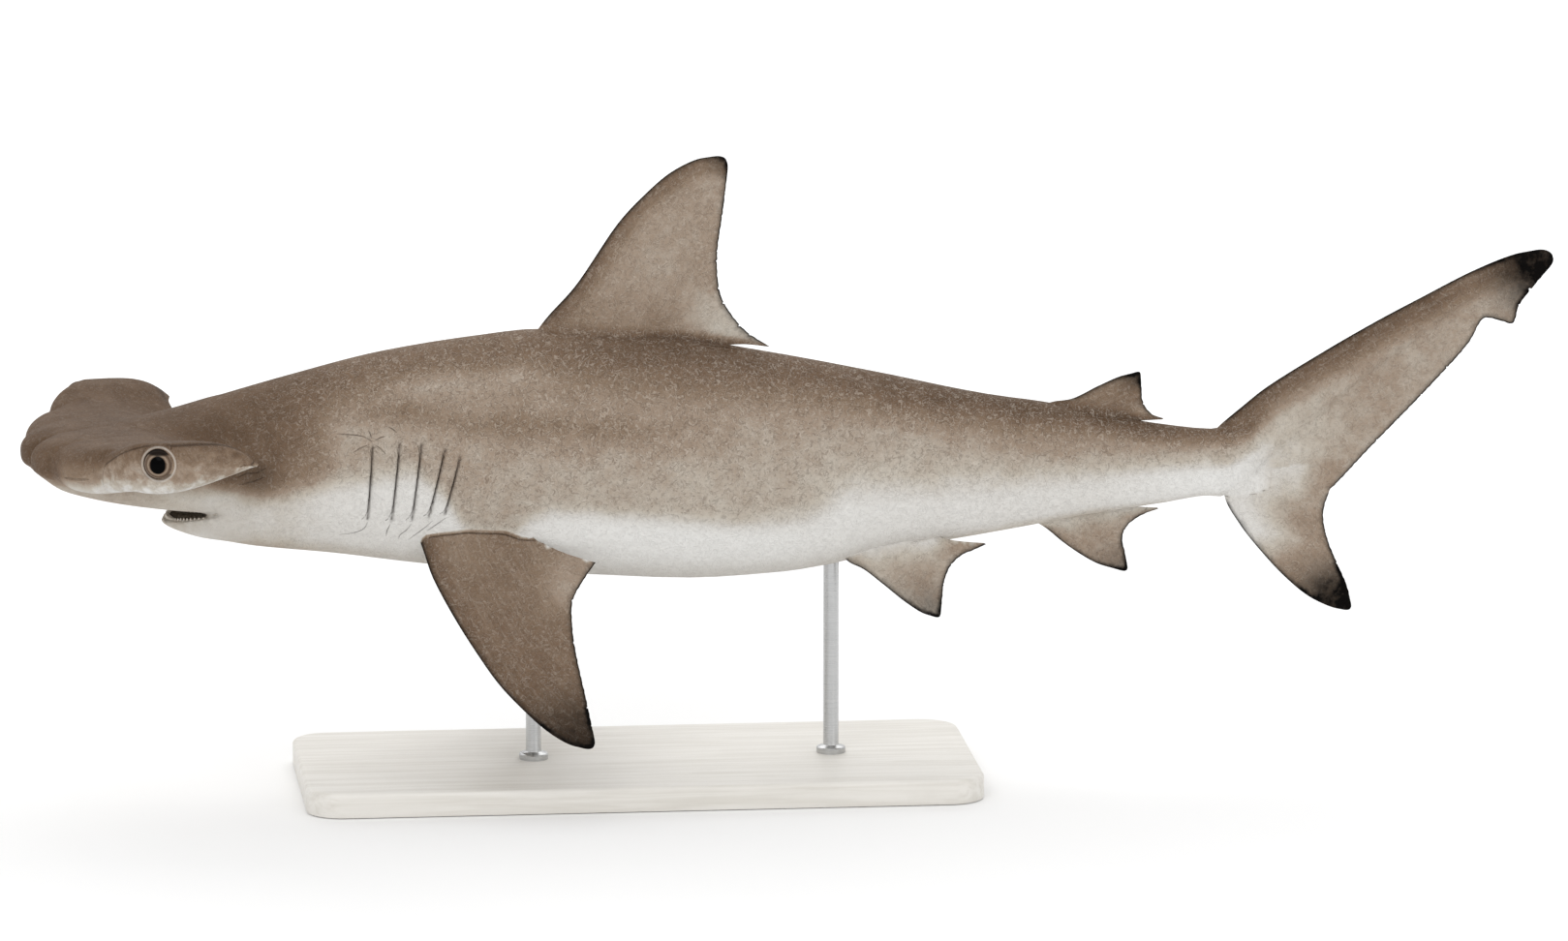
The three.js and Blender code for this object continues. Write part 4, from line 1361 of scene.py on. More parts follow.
@dataclass
class Skin:
    """One unbroken skin over the whole shark, from the head's wings to the tail."""

    trunk: Trunk = field(default_factory=Trunk)
    head: Head = field(default_factory=Head)
    gills: Gills = field(default_factory=Gills)
    fins: list[Fin] = field(default_factory=all_fins)
    bend: NeckBend = field(default_factory=NeckBend)
    grooves: list[Array] = field(default_factory=list)
    grain: float = 1.2
    kept_faces: float = 0.235
    smooth_rounds: int = 4
    fill_rounds: int = 48
    tail_rounds: int = 10
    sharp: float = 52.0
    lid_mound: tuple[float, float] = (11.7, 5.0)
    turning: Profile = profile([
        [0, 0.62], [150, 0.62], [185, 0.57], [210, 0.55], [250, 0.53], [270, 0.62], [290, 0.8],
        [315, 0.8], [332, 0.72], [345, 0.7], [430, 0.72], [480, 0.735], [500, 0.73], [542, 0.58],
        [580, 0.62], [694, 0.6], [730, 0.55], [770, 0.54], [800, 0.56]])
    softness: Profile = profile([
        [0, 0.1], [193, 0.11], [250, 0.09], [330, 0.06], [480, 0.06], [542, 0.12], [618, 0.14],
        [694, 0.12], [770, 0.1], [800, 0.12]])
    back_tone: Profile = profile([
        [0, 0.05], [150, 0.05], [200, 0.12], [240, 0.2], [330, 0.17], [400, 0.08], [542, 0.06],
        [618, 0.0], [694, 0.0], [770, 0.05], [800, 0.1]])
    flank_tone: Profile = profile([
        [0, 0.08], [156, 0.08], [185, 0.22], [210, 0.56], [260, 0.52], [400, 0.47], [466, 0.51],
        [500, 0.55], [560, 0.54], [618, 0.5], [694, 0.48], [770, 0.54]])
    low_flank_tone: Profile = profile([
        [0, 0.2], [156, 0.2], [185, 0.34], [210, 0.54], [260, 0.56], [330, 0.62], [466, 0.64],
        [542, 0.65], [618, 0.68], [770, 0.7]])
    belly_tone: Profile = profile([
        [0, 0.8], [156, 0.78], [210, 0.88], [260, 0.92], [330, 1.0], [480, 1.0], [542, 0.94],
        [618, 0.9], [694, 0.88], [770, 0.98]])

    def core(self) -> Thing:
        """Fuses body, head and jaw into one closed mesh of even grain.

        Returns:
            The working object.
        """
        jaw = Workshop.bench("jaw", self.head.jaw())
        Workshop.combine(jaw, self.head.gape(), "DIFFERENCE")
        lower = Form(Workshop.points(jaw.data), Workshop.faces(jaw.data))
        Workshop.drop(jaw)
        mounds = [self.head.eye_form(side, *self.lid_mound) for side in Side]
        whole = joined([self.trunk.form(), self.head.wing(), self.head.snout(), lower, *mounds])
        core = Workshop.bench("shark_skin", whole)
        remesh = core.modifiers.new("even", "REMESH")
        remesh.mode = "VOXEL"
        remesh.voxel_size = self.grain
        Workshop.settle(core)
        LOG.info("core has %d faces", len(core.data.polygons))
        return core

    def soften(self, core: Thing) -> None:
        """Smooths the grain away, fills hollow creases softly and raises the skin's relief.

        Args:
            core: Working object.
        """
        mesh = core.data
        points = Workshop.points(mesh)
        edges = Workshop.edges(mesh)
        for _ in range(self.smooth_rounds):
            points = points + 0.5 * Workshop.pull(points, edges)
            points = points - 0.45 * Workshop.pull(points, edges)
        Workshop.set_points(mesh, points)
        out = np.minimum(np.abs(points[:, 1]), self.head.wing_limit)
        fold = 1 - ease(points[:, 0], 165, 195)
        fold *= ease(points[:, 0] - self.head.front(out), 5, 18)
        mouth = bump(points[:, 0], 107, 22) * (1 - ease(points[:, 2], -9, -2))
        fold *= 1 - 0.9 * np.clip(mouth, 0, 1)
        for turn in range(self.fill_rounds):
            if turn % 6 == 0:
                Workshop.set_points(mesh, points)
                normals = Workshop.normals(mesh)
            way = Workshop.pull(points, edges)
            outward = np.clip(np.sum(way * normals, axis=1), 0, None)
            points = points + 0.8 * (outward * fold)[:, None] * normals
        Workshop.set_points(mesh, points)
        normals = Workshop.normals(mesh)
        rise = self.gills.flap(points) + self.head.relief(points)
        Workshop.set_points(mesh, points + normals * rise[:, None])

    def thin(self, core: Thing, ratio: float) -> None:
        """Lets go of faces where the skin is plain.

        Args:
            core: Working object.
            ratio: Share of faces to keep.
        """
        points = Workshop.points(core.data)
        group = core.vertex_groups.new(name="plain")
        plain = 0.25 + 0.75 * ease(points[:, 0], 290, 330)
        for level in np.unique(np.round(plain, 1)):
            index = np.flatnonzero(np.round(plain, 1) == level)
            group.add(index.tolist(), float(level), "REPLACE")
        less = core.modifiers.new("less", "DECIMATE")
        less.ratio = ratio
        less.vertex_group = "plain"
        less.vertex_group_factor = 1.0
        Workshop.settle(core)
        core.vertex_groups.clear()

    def details(self, core: Thing) -> None:
        """Joins the fins and lids, and cuts the gill slits, mouth, eye sockets and nostrils.

        Args:
            core: Working object.
        """
        forms = {fin.name: fin.form(self.trunk) for fin in self.fins}
        lower = forms.pop("lower_lobe")
        Workshop.combine(core, joined(list(forms.values())), "UNION")
        Workshop.combine(core, lower, "UNION")
        Workshop.combine(core, joined([self.head.lid_ring(side) for side in Side]), "UNION")
        cuts = [self.gills.cut(self.trunk, slit, side) for slit in self.gills.slits for side in Side]
        cuts += [self.head.eye_form(side, *self.head.socket_size(), 64) for side in Side]
        cuts.append(self.head.mouth_hollow())
        cuts += self.folds(core)
        nostrils = [self.head.nostril_cuts(side) for side in Side]
        Workshop.combine(core, joined(cuts + [pair[0] for pair in nostrils]), "DIFFERENCE")
        Workshop.combine(core, joined([pair[1] for pair in nostrils]), "DIFFERENCE")

    def ease_tail(self, mesh: Mesh) -> None:
        """Evens the skin out where the tail's lobes leave the body.

        Args:
            mesh: Mesh of the skin.
        """
        points, edges = Workshop.points(mesh), Workshop.edges(mesh)
        x, y, z = points.T
        hold = ease(x, 782, 790) * (1 - ease(x, 836, 852)) * ease(np.abs(y), 1.2, 2.2)
        hold *= ease(z - (x - 800) * 0.75, -34, -24) * (1 - ease(z - (x - 800) * 0.75, 22, 30))
        for _ in range(self.tail_rounds):
            points = points + 0.5 * hold[:, None] * Workshop.pull(points, edges)
        Workshop.set_points(mesh, points)

    def root_lines(self) -> list[Array]:
        """Lines along which the pectoral fins leave the body, on their upper side.

        Returns:
            Points of each line.
        """
        lines = []
        for fin in self.fins:
            if not fin.name.startswith("pectoral"):
                continue
            run = np.linspace(5, 74, 32)
            reach = np.linspace(-30, 40, 120)
            flat = np.array([[u, v] for u in run for v in reach])
            half = fin.half_thickness(raised(flat, 0.0), self.trunk)
            placed = fin.place(raised(flat, half))
            if placed[:, 2].mean() < fin.place(raised(flat, -half))[:, 2].mean():
                placed = fin.place(raised(flat, -half))
            clear = self.trunk.clearance(placed).reshape(len(run), -1)
            first = np.argmax(clear > 2.2, axis=1)
            lines.append(placed.reshape(len(run), -1, 3)[np.arange(len(run)), first])
        return lines

    def folds(self, core: Thing) -> list[Form]:
        """Builds the thin cutters that score the fine folds into the skin.

        Args:
            core: Working object, whose skin the folds follow.

        Returns:
            The closed cutters.
        """
        mesh = core.data
        tree = BVHTree.FromPolygons([v.co for v in mesh.vertices], Workshop.faces(mesh))
        paths = [(line, 0.75, 0.55, 0.8) for line in self.root_lines()]
        for crease in CREASES:
            flat = smooth_line(crease.line, 1.2)
            for side in Side:
                across = np.full((len(flat), 1), side.value * crease.aside)
                line = np.concatenate([flat[:, :1], across, flat[:, 1:]], 1)
                paths.append((line, crease.radius, crease.depth, crease.shade))
        forms = []
        for path, radius, depth, shade in paths:
            rows = []
            for point in path:
                spot, normal, _, _ = tree.find_nearest(Vector(point))
                rows.append([*spot, *normal])
            rows = np.array(rows)
            for _ in range(3):
                rows[1:-1] = 0.5 * rows[1:-1] + 0.25 * (rows[:-2] + rows[2:])
            taper = np.sin(math.pi * np.linspace(0.02, 0.98, len(rows))) ** 0.35
            lift = radius - depth * taper
            middle = rows[:, :3] + rows[:, 3:] * lift[:, None]
            sizes = np.tile([radius, shade], (len(rows), 1))
            self.grooves.append(np.column_stack([middle, rows[:, 3:], lift, sizes]))
            forms.append(tube(middle, np.full(len(rows), radius), 8))
        return forms

    def grooved(self, points: Array) -> Array:
        """Strength of the painted shade in the fine folds at points of the skin: 1 in a fold and 0 away
        from it.

        Args:
            points: Points of the straight shark.

        Returns:
            The strengths.
        """
        rows = np.concatenate(self.grooves)
        tree = KDTree(len(rows))
        for index, row in enumerate(rows):
            tree.insert(row[:3], index)
        tree.balance()
        strength = np.zeros(len(points))
        for index, point in enumerate(points):
            _, nearest, gap = tree.find(point)
            row = rows[nearest]
            if gap < row[7] * 1.3:
                down = float(np.dot(row[:3] - point, row[3:6]))
                strength[index] = row[8] * min(max((down - row[6]) / (row[7] - row[6]), 0.0), 1.0)
        return strength

    def body_shade(self, station: Array, share: Array) -> Array:
        """Tone of the body: a quick rise from the back, a slow one over the flank, then the belly; with
        a painted highlight along the shoulder and painted shade under the belly.

        Args:
            station: Stations to read.
            share: Share of the body's depth above each point.

        Returns:
            Tones from 0, darkest, to 1.
        """
        turn, soft = self.turning(station), self.softness(station)
        back, flank = self.back_tone(station), self.flank_tone(station)
        low, belly = self.low_flank_tone(station), self.belly_tone(station)
        tone = back + (flank - back) * ease(share, 0.02, 0.3)
        tone += (low - flank) * np.clip((share - 0.3) / (turn - 0.5 * soft - 0.3), 0, 1)
        tone += (belly - low) * ease((share - turn) / soft, -1, 1)
        stripe = Profile([[200, 0.24], [240, 0.25], [300, 0.34], [430, 0.36]])(station)
        window = ease(station, 195, 235) * (1 - ease(station, 380, 430))
        tone -= 0.17 * bump(share, stripe, 0.055) * window
        # Painted highlight: a pale band along the shoulder, where the light falls on it.
        glow = ease(station, 225, 265) * (1 - ease(station, 310, 370))
        tone += 0.2 * bump(share, 0.15, 0.05) * glow
        # Painted shade: the tone darkens under the belly.
        return tone - 0.17 * ease(share, 0.86, 1.0)

    def shades(self, points: Array, normals: Array) -> tuple[Array, Array, Array, Array]:
        """Works out what the skin's finish reads at each point.

        Args:
            points: Points of the straight shark.
            normals: Normals there.

        Returns:
            Rows of tone, darkness and painted shade in hollows; of ray places and fin share; of face
            patches, painted shade in folds, and wrinkles; and of the ways to the brow line, the tail's
            seam and the eye's middle.
        """
        x, y, z = points.T
        out = np.abs(y)
        share = self.trunk.share_down(points)
        body = self.body_shade(x, share)
        head_share = 1 - ease(x, 118, 150)
        wing_share = ease(out, 44, 58) * (1 - ease(x, 122, 138))
        front = self.head.front(np.minimum(out, self.head.wing_limit))
        chord = self.head.rear(np.minimum(out, self.head.wing_limit)) - front
        behind = np.clip(x - front, 0, chord)
        sheet = self.head.level(out, behind / chord)
        upper = z > sheet
        inner = np.minimum(out, 112)
        nose = np.minimum(self.head.nose(inner), 0.4 * chord)
        local = np.where(behind < nose, np.where(upper, self.head.above(inner), self.head.below(inner)),
                         self.head.thickness(inner, np.maximum(behind, nose), chord, upper))
        rel = (z - sheet) / np.maximum(local, 1.0)
        brow = Profile([[0, -0.35], [58, -0.35], [70, -0.12], [80, 0.12], [90, 0.36], [100, 0.66],
                        [112, 0.9], [127, 0.94]])(out)
        tilt = 0.5 * ease(normals[:, 2], 0.55, 0.9) * (out < 100)
        under = rel + tilt - brow
        wing_tone = 0.05 + 0.1 * (1 - ease(under, -0.15, 0.03)) + 0.27 * (1 - ease(rel, -0.15, 0.7))
        wing_tone += 0.4 * (1 - ease(rel, -0.95, -0.15))
        line = Profile([[0, 14], [40, 14], [80, 13], [100, 9], [130, 6], [150, 0]])(x)
        reach = Profile([[0, 0.56], [60, 0.56], [85, 0.62], [112, 0.74]])(x)
        snout_tone = 0.04 + reach * (1 - ease(z - line, -8, 8))
        head_tone = snout_tone * (1 - wing_share) + wing_tone * wing_share
        tone = body * (1 - head_share) + head_tone * head_share
        patch = wing_share * head_share * ease(out, 56, 90) * (1 - ease(under, -0.3, 0.05))
        way = np.clip(under * local, -20, 20) + 45 * (1 - wing_share * head_share * ease(out, 68, 84))
        dark, hollow_shade = np.zeros(len(points)), np.zeros(len(points))
        fin_mask = np.zeros(len(points))
        rays = np.zeros((len(points), 2))
        for fin in self.fins:
            mask, fin_tone, fin_dark, place = fin.paint(points, self.trunk)
            tone = tone * (1 - mask) + fin_tone * mask
            dark = np.maximum(dark, fin_dark)
            rays = np.where(mask[:, None] > 0, place, rays)
            fin_mask = np.maximum(fin_mask, mask)
        band = ease(4 + 0.17 * (x - 786) - z, -4, 7) * ease(x, 774, 790)
        fold = Profile([[778, -20.9], [786, -22.6], [796, -23], [810, -20.2], [821, -14.9], [830, -8.1],
                        [840, 6], [850, 24]])(x)
        band *= ease(z - fold, -2, 1) * (1 - ease(x, 806, 844)) * (z > -26)
        tone = np.maximum(tone, 0.93 * band)
        seam = np.where((x > 784) & (x < 852) & (z < 20) & (z > -45), np.clip(z - fold, -20, 20), 20)
        seam = np.abs(seam) + np.clip(x - 818, 0, 30) * 0.05
        clear = self.trunk.clearance(points)
        gill = (x > 212) & (x < 292)
        # Painted shade inside the gill slits, darker deeper in.
        hollow_shade = np.where(gill, ease(-clear, 0.1, 0.9), 0)
        # Painted shade along the gill slits and in the fine folds.
        crease_shade = np.zeros(len(points))
        for slit in self.gills.slits:
            at = self.gills.line_at(slit, z)
            span = ease(z, slit[3] - 2, slit[3] + 1) * (1 - ease(z, slit[2] - 1, slit[2] + 2))
            crease_shade = np.maximum(crease_shade, np.exp(-(((x - at) / 0.8) ** 2)) * span * (out > 20))
        crease_shade = np.maximum(crease_shade, self.grooved(points))
        lid = np.full(len(points), 40.0)
        socket_radius, socket_depth = self.head.socket_size()
        for side in Side:
            centre, along, look, up = self.head.eye_axes(side)
            local_points = points - centre
            radius = np.hypot(local_points @ along, local_points @ up)
            reach = local_points @ look
            near = (np.abs(y - centre[1]) < 20) & (x < 90) & (reach > -1.2)
            near &= normals @ look > -0.1
            ring = np.where(near, 1 - ease(radius, 11.6, 12.6), 0)
            lid = np.where(near, radius, lid)
            ratio = np.hypot(radius / socket_radius, reach / socket_depth)
            # Painted shade in the gap round the eye.
            hollow_shade = np.where((np.abs(ratio - 1) < 0.05) & (reach < 0.6) & (x < 90), 1.0, hollow_shade)
            patch = np.where(near, patch * (1 - ring), patch)
            crease_shade = np.where(near, 0, crease_shade)
            way = np.where(near, way + 20 * ring, way)
            # Painted shade in the nostril.
            hollow_shade = np.where(self.head.in_nostril(points, side), 1.0, hollow_shade)
        mouth = self.head.in_mouth(points, normals)
        hollow_shade = np.where(mouth, 0, hollow_shade)
        tone = np.where(mouth, 0.66, tone)
        # Painted shadow on the neck behind each wing's rear corner, added to the darkness.
        painted_wing_shadow = np.exp(-((x - 146) / 12) ** 2 - ((z - 12) / 10) ** 2)
        painted_wing_shadow *= (out < 62) & (out > 20)
        dark = np.maximum(dark, 0.4 * painted_wing_shadow)
        wrinkle = 0.3 + 0.7 * ease(x, 100, 240)
        return (np.stack([tone, dark, hollow_shade], 1), np.stack([rays[:, 0], rays[:, 1], fin_mask], 1),
                np.stack([patch, crease_shade, wrinkle], 1), np.stack([way, seam, lid], 1))

    def build(self) -> Thing:
        """Builds the finished skin in the row frame.

        Returns:
            The skin object, in metres.
        """
        core = self.core()
        self.soften(core)
        self.thin(core, self.kept_faces)
        LOG.info("thinned core has %d faces", len(core.data.polygons))
        self.details(core)
        split = core.modifiers.new("triangles", "TRIANGULATE")
        split.quad_method = "SHORTEST_DIAGONAL"
        Workshop.settle(core)
        mesh = core.data
        self.ease_tail(mesh)
        points = Workshop.points(mesh)
        rows = self.shades(points, Workshop.normals(mesh))
        for name, values in zip(("coat", "lay", "face", "trace"), rows):
            Workshop.mark(mesh, name, values)
        Workshop.set_points(mesh, self.bend.place(points))
        mesh.shade_smooth()
        mesh.set_sharp_from_angle(angle=math.radians(self.sharp))
        LOG.info("skin has %d triangles", len(mesh.polygons))
        return core


@dataclass(frozen=True)
class Colour:
    """Colour by its three bytes, as the eye reads them."""

    red: int
    green: int
    blue: int

    def linear(self) -> tuple[float, float, float, float]:
        """Colour as light, with full cover."""
        parts = [part / 255 for part in (self.red, self.green, self.blue)]
        light = [p / 12.92 if p <= 0.04045 else ((p + 0.055) / 1.055) ** 2.4 for p in parts]
        return light[0], light[1], light[2], 1.0


Stops = tuple[tuple[float, Colour], ...]


@dataclass(frozen=True)
class Signal:
    """Output of a node. Signals add, take away, multiply and divide like numbers."""

    bench: "NodeBench"
    socket: Socket

    def __add__(self, other: "Signal | float") -> "Signal":
        """Sum of two signals."""
        return self.bench.math("ADD", self, other)

    def __sub__(self, other: "Signal | float") -> "Signal":
        """Difference of two signals."""
        return self.bench.math("SUBTRACT", self, other)

    def __mul__(self, other: "Signal | float") -> "Signal":
        """Product of two signals."""
        return self.bench.math("MULTIPLY", self, other)

    def __truediv__(self, other: "Signal | float") -> "Signal":
        """Ratio of two signals."""
        return self.bench.math("DIVIDE", self, other)

    def __abs__(self) -> "Signal":
        """The signal without its sign."""
        return self.bench.math("ABSOLUTE", self)

    def held(self) -> "Signal":
        """Holds a sum between 0 and 1."""
        self.socket.node.use_clamp = True
        return self

    def fit(self, low: float, high: float, start: float = 0.0, end: float = 1.0) -> "Signal":
        """Maps the range from low to high softly onto start to end, held at both ends."""
        return self.bench.out("ShaderNodeMapRange", {0: self, 1: low, 2: high, 3: start, 4: end},
                              {"interpolation_type": "SMOOTHSTEP"})

    def ramp(self, stops: Stops) -> "Signal":
        """Maps the signal onto colours.

        Args:
            stops: Places from 0 to 1, each with its colour.

        Returns:
            The colour.
        """
        made = self.bench.node("ShaderNodeValToRGB", {0: self})
        band = made.color_ramp
        band.elements[0].position, band.elements[0].color = stops[0][0], stops[0][1].linear()
        band.elements[1].position, band.elements[1].color = stops[-1][0], stops[-1][1].linear()
        for place, colour in stops[1:-1]:
            band.elements.new(place).color = colour.linear()
        return Signal(self.bench, made.outputs[0])

    def blend(self, share: "Signal", colour: Colour) -> "Signal":
        """Blends a share of another colour into this one."""
        return self.bench.mix(share, self, colour)


Term = Signal | float


@dataclass(frozen=True)
class NodeBench:
    """Puts nodes into one tree and links them."""

    tree: Tree

    def node(self, kind: str, inputs: dict | None = None, settings: dict | None = None) -> Node:
        """Adds a node.

        Args:
            kind: Node type.
            inputs: Values, sockets or signals for its inputs, by name or number.
            settings: Values of the node's own settings.

        Returns:
            The node.
        """
        made = self.tree.nodes.new(kind)
        for key, value in (settings or {}).items():
            setattr(made, key, value)
        for key, value in (inputs or {}).items():
            value = value.socket if isinstance(value, Signal) else value
            if isinstance(value, Socket):
                self.tree.links.new(value, made.inputs[key])
            else:
                made.inputs[key].default_value = value
        return made

    def out(self, kind: str, inputs: dict | None = None, settings: dict | None = None,
            key: int | str = 0) -> Signal:
        """Adds a node and gives one of its outputs."""
        return Signal(self, self.node(kind, inputs, settings).outputs[key])

    def place(self) -> Signal:
        """Place on the object, in metres."""
        return self.out("ShaderNodeTexCoord", key="Object")

    def mark(self, name: str) -> Signal:
        """Reads an attribute of the mesh, a vector at each point."""
        settings = {"attribute_name": name, "attribute_type": "GEOMETRY"}
        return self.out("ShaderNodeAttribute", None, settings, "Vector")

    def math(self, operation: str, *terms: Term) -> Signal:
        """Adds one sum of the terms."""
        return self.out("ShaderNodeMath", dict(enumerate(terms)), {"operation": operation})

    def noise(self, place: Term, scale: Term, detail: float, rough: float = 0.5,
              warp: float = 0.0) -> Signal:
        """Noise from 0 to 1, with its finer layers and how far it is warped."""
        return self.out("ShaderNodeTexNoise", {
            "Vector": place, "Scale": scale, "Detail": detail, "Roughness": rough, "Distortion": warp})

    def mix(self, share: Signal, first: Signal | Colour, second: Colour) -> Signal:
        """Blends a share of the second colour into the first.

        Args:
            share: Share of the second colour.
            first: First colour, plain or from a node.
            second: Second colour.

        Returns:
            The blended colour.
        """
        start = first.linear() if isinstance(first, Colour) else first
        inputs = {0: share, 6: start, 7: second.linear()}
        return self.out("ShaderNodeMix", inputs, {"data_type": "RGBA"}, 2)

    def vector(self, x: Term, y: Term, z: Term) -> Signal:
        """Puts three numbers together as a vector."""
        return self.out("ShaderNodeCombineXYZ", {0: x, 1: y, 2: z})

    def parts(self, node: Node) -> tuple[Signal, ...]:
        """All outputs of a node."""
        return tuple(Signal(self, socket) for socket in node.outputs)

    def apart(self, vector: Signal) -> tuple[Signal, ...]:
        """Takes a vector apart into three numbers."""
        return self.parts(self.node("ShaderNodeSeparateXYZ", {0: vector}))

    def group(self, tree: Tree, *terms: Term) -> tuple[Signal, ...]:
        """Places a group and gives all its outputs."""
        return self.parts(self.node("ShaderNodeGroup", dict(enumerate(terms)), {"node_tree": tree}))

    def speckle(self, place: Signal, blotch: float, grain: float) -> tuple[Signal, ...]:
        """Soft blotches and fine grain at two scales."""
        return self.group(speckle_group(), place, blotch, grain)

    def curls(self, place: Signal, scale: float, width: float, cover: float) -> tuple[Signal, ...]:
        """Pale lines, lines of painted shade beside them, and height of wrinkles that cover a share of
        the skin.
        """
        return self.group(curls_group(), place, scale, width, cover)

    def leave(self, node: Node, **signals: Signal) -> None:
        """Links signals to a node's inputs; a name's underscores stand for spaces."""
        for name, signal in signals.items():
            self.tree.links.new(signal.socket, node.inputs[name.replace("_", " ")])

    def relief(self, strength: float, depth: float, height: Signal) -> Signal:
        """Relief of a height, whose depth is in metres."""
        return self.out("ShaderNodeBump", {"Strength": strength, "Distance": depth, "Height": height})


def new_group(name: str, inputs: dict[str, float | None],
              outputs: Sequence[str]) -> tuple[NodeBench, tuple[Signal, ...], Node]:
    """Starts a shader node group.

    Args:
        name: Name of the group.
        inputs: Name and default of each input; one without a default is a vector.
        outputs: Name of each output.

    Returns:
        The group's bench, its inputs and the node that holds its outputs.
    """
    tree = bpy.data.node_groups.new(name, "ShaderNodeTree")
    for label, default in inputs.items():
        kind = "NodeSocketVector" if default is None else "NodeSocketFloat"
        socket = tree.interface.new_socket(label, in_out="INPUT", socket_type=kind)
        if default is not None:
            socket.default_value = default
    for label in outputs:
        tree.interface.new_socket(label, in_out="OUTPUT", socket_type="NodeSocketFloat")
    bench = NodeBench(tree)
    return bench, bench.parts(bench.node("NodeGroupInput")), bench.node("NodeGroupOutput")


@cache
def speckle_group() -> Tree:
    """Fine uneven grain over a surface.

    Returns:
        Group with a mask of soft blotches and one of fine grain.
    """
    bench, (place, blotch, grain, *_), leave = new_group(
        "speckle", {"Vector": None, "Blotch Scale": 40.0, "Grain Scale": 900.0}, ("Blotch", "Grain"))
    bench.leave(leave, Blotch=bench.noise(place, blotch, 5.0, 0.62),
                Grain=bench.noise(place, grain, 3.0, 0.6))
    return bench.tree


@cache
def curls_group() -> Tree:
    """Short curling wrinkles, each a pale line with a line of painted shade beside it, as on a raised
    fold.

    Returns:
        Group with the pale lines, the lines of painted shade and the height of the wrinkles.
    """
    bench, (place, scale, width, cover, *_), leave = new_group(
        "curls", {"Vector": None, "Scale": 170.0, "Width": 0.02, "Cover": 0.5},
        ("Light", "Dark", "Height"))
    away = bench.noise(place, scale, 1.5, 0.5, 1.1) - 0.5
    light = (abs(away) / width).fit(0.25, 1.0, 1.0, 0.0)
    # A line of painted shade beside each pale line, as on a raised wrinkle.
    dark = (abs(away + width * 1.7) / width).fit(0.3, 1.1, 1.0, 0.0)
    limit = bench.math("SUBTRACT", 0.78, cover * 0.42)
    seen = (bench.noise(place, scale * 1.35, 2.0) - limit).fit(-0.03, 0.05)
    light, dark = light * seen, dark * seen
    bench.leave(leave, Light=light, Dark=dark, Height=light - dark)
    return bench.tree


def start_material(name: str) -> tuple[Material, NodeBench, Node]:
    """Starts a material with one surface shader.

    Args:
        name: Name of the material.

    Returns:
        The material, its bench and its surface shader.
    """
    material = bpy.data.materials.new(name)
    material.use_nodes = True
    tree = material.node_tree
    tree.nodes.clear()
    bench = NodeBench(tree)
    shader = bench.node("ShaderNodeBsdfPrincipled")
    bench.node("ShaderNodeOutputMaterial", {0: shader.outputs[0]})
    return material, bench, shader


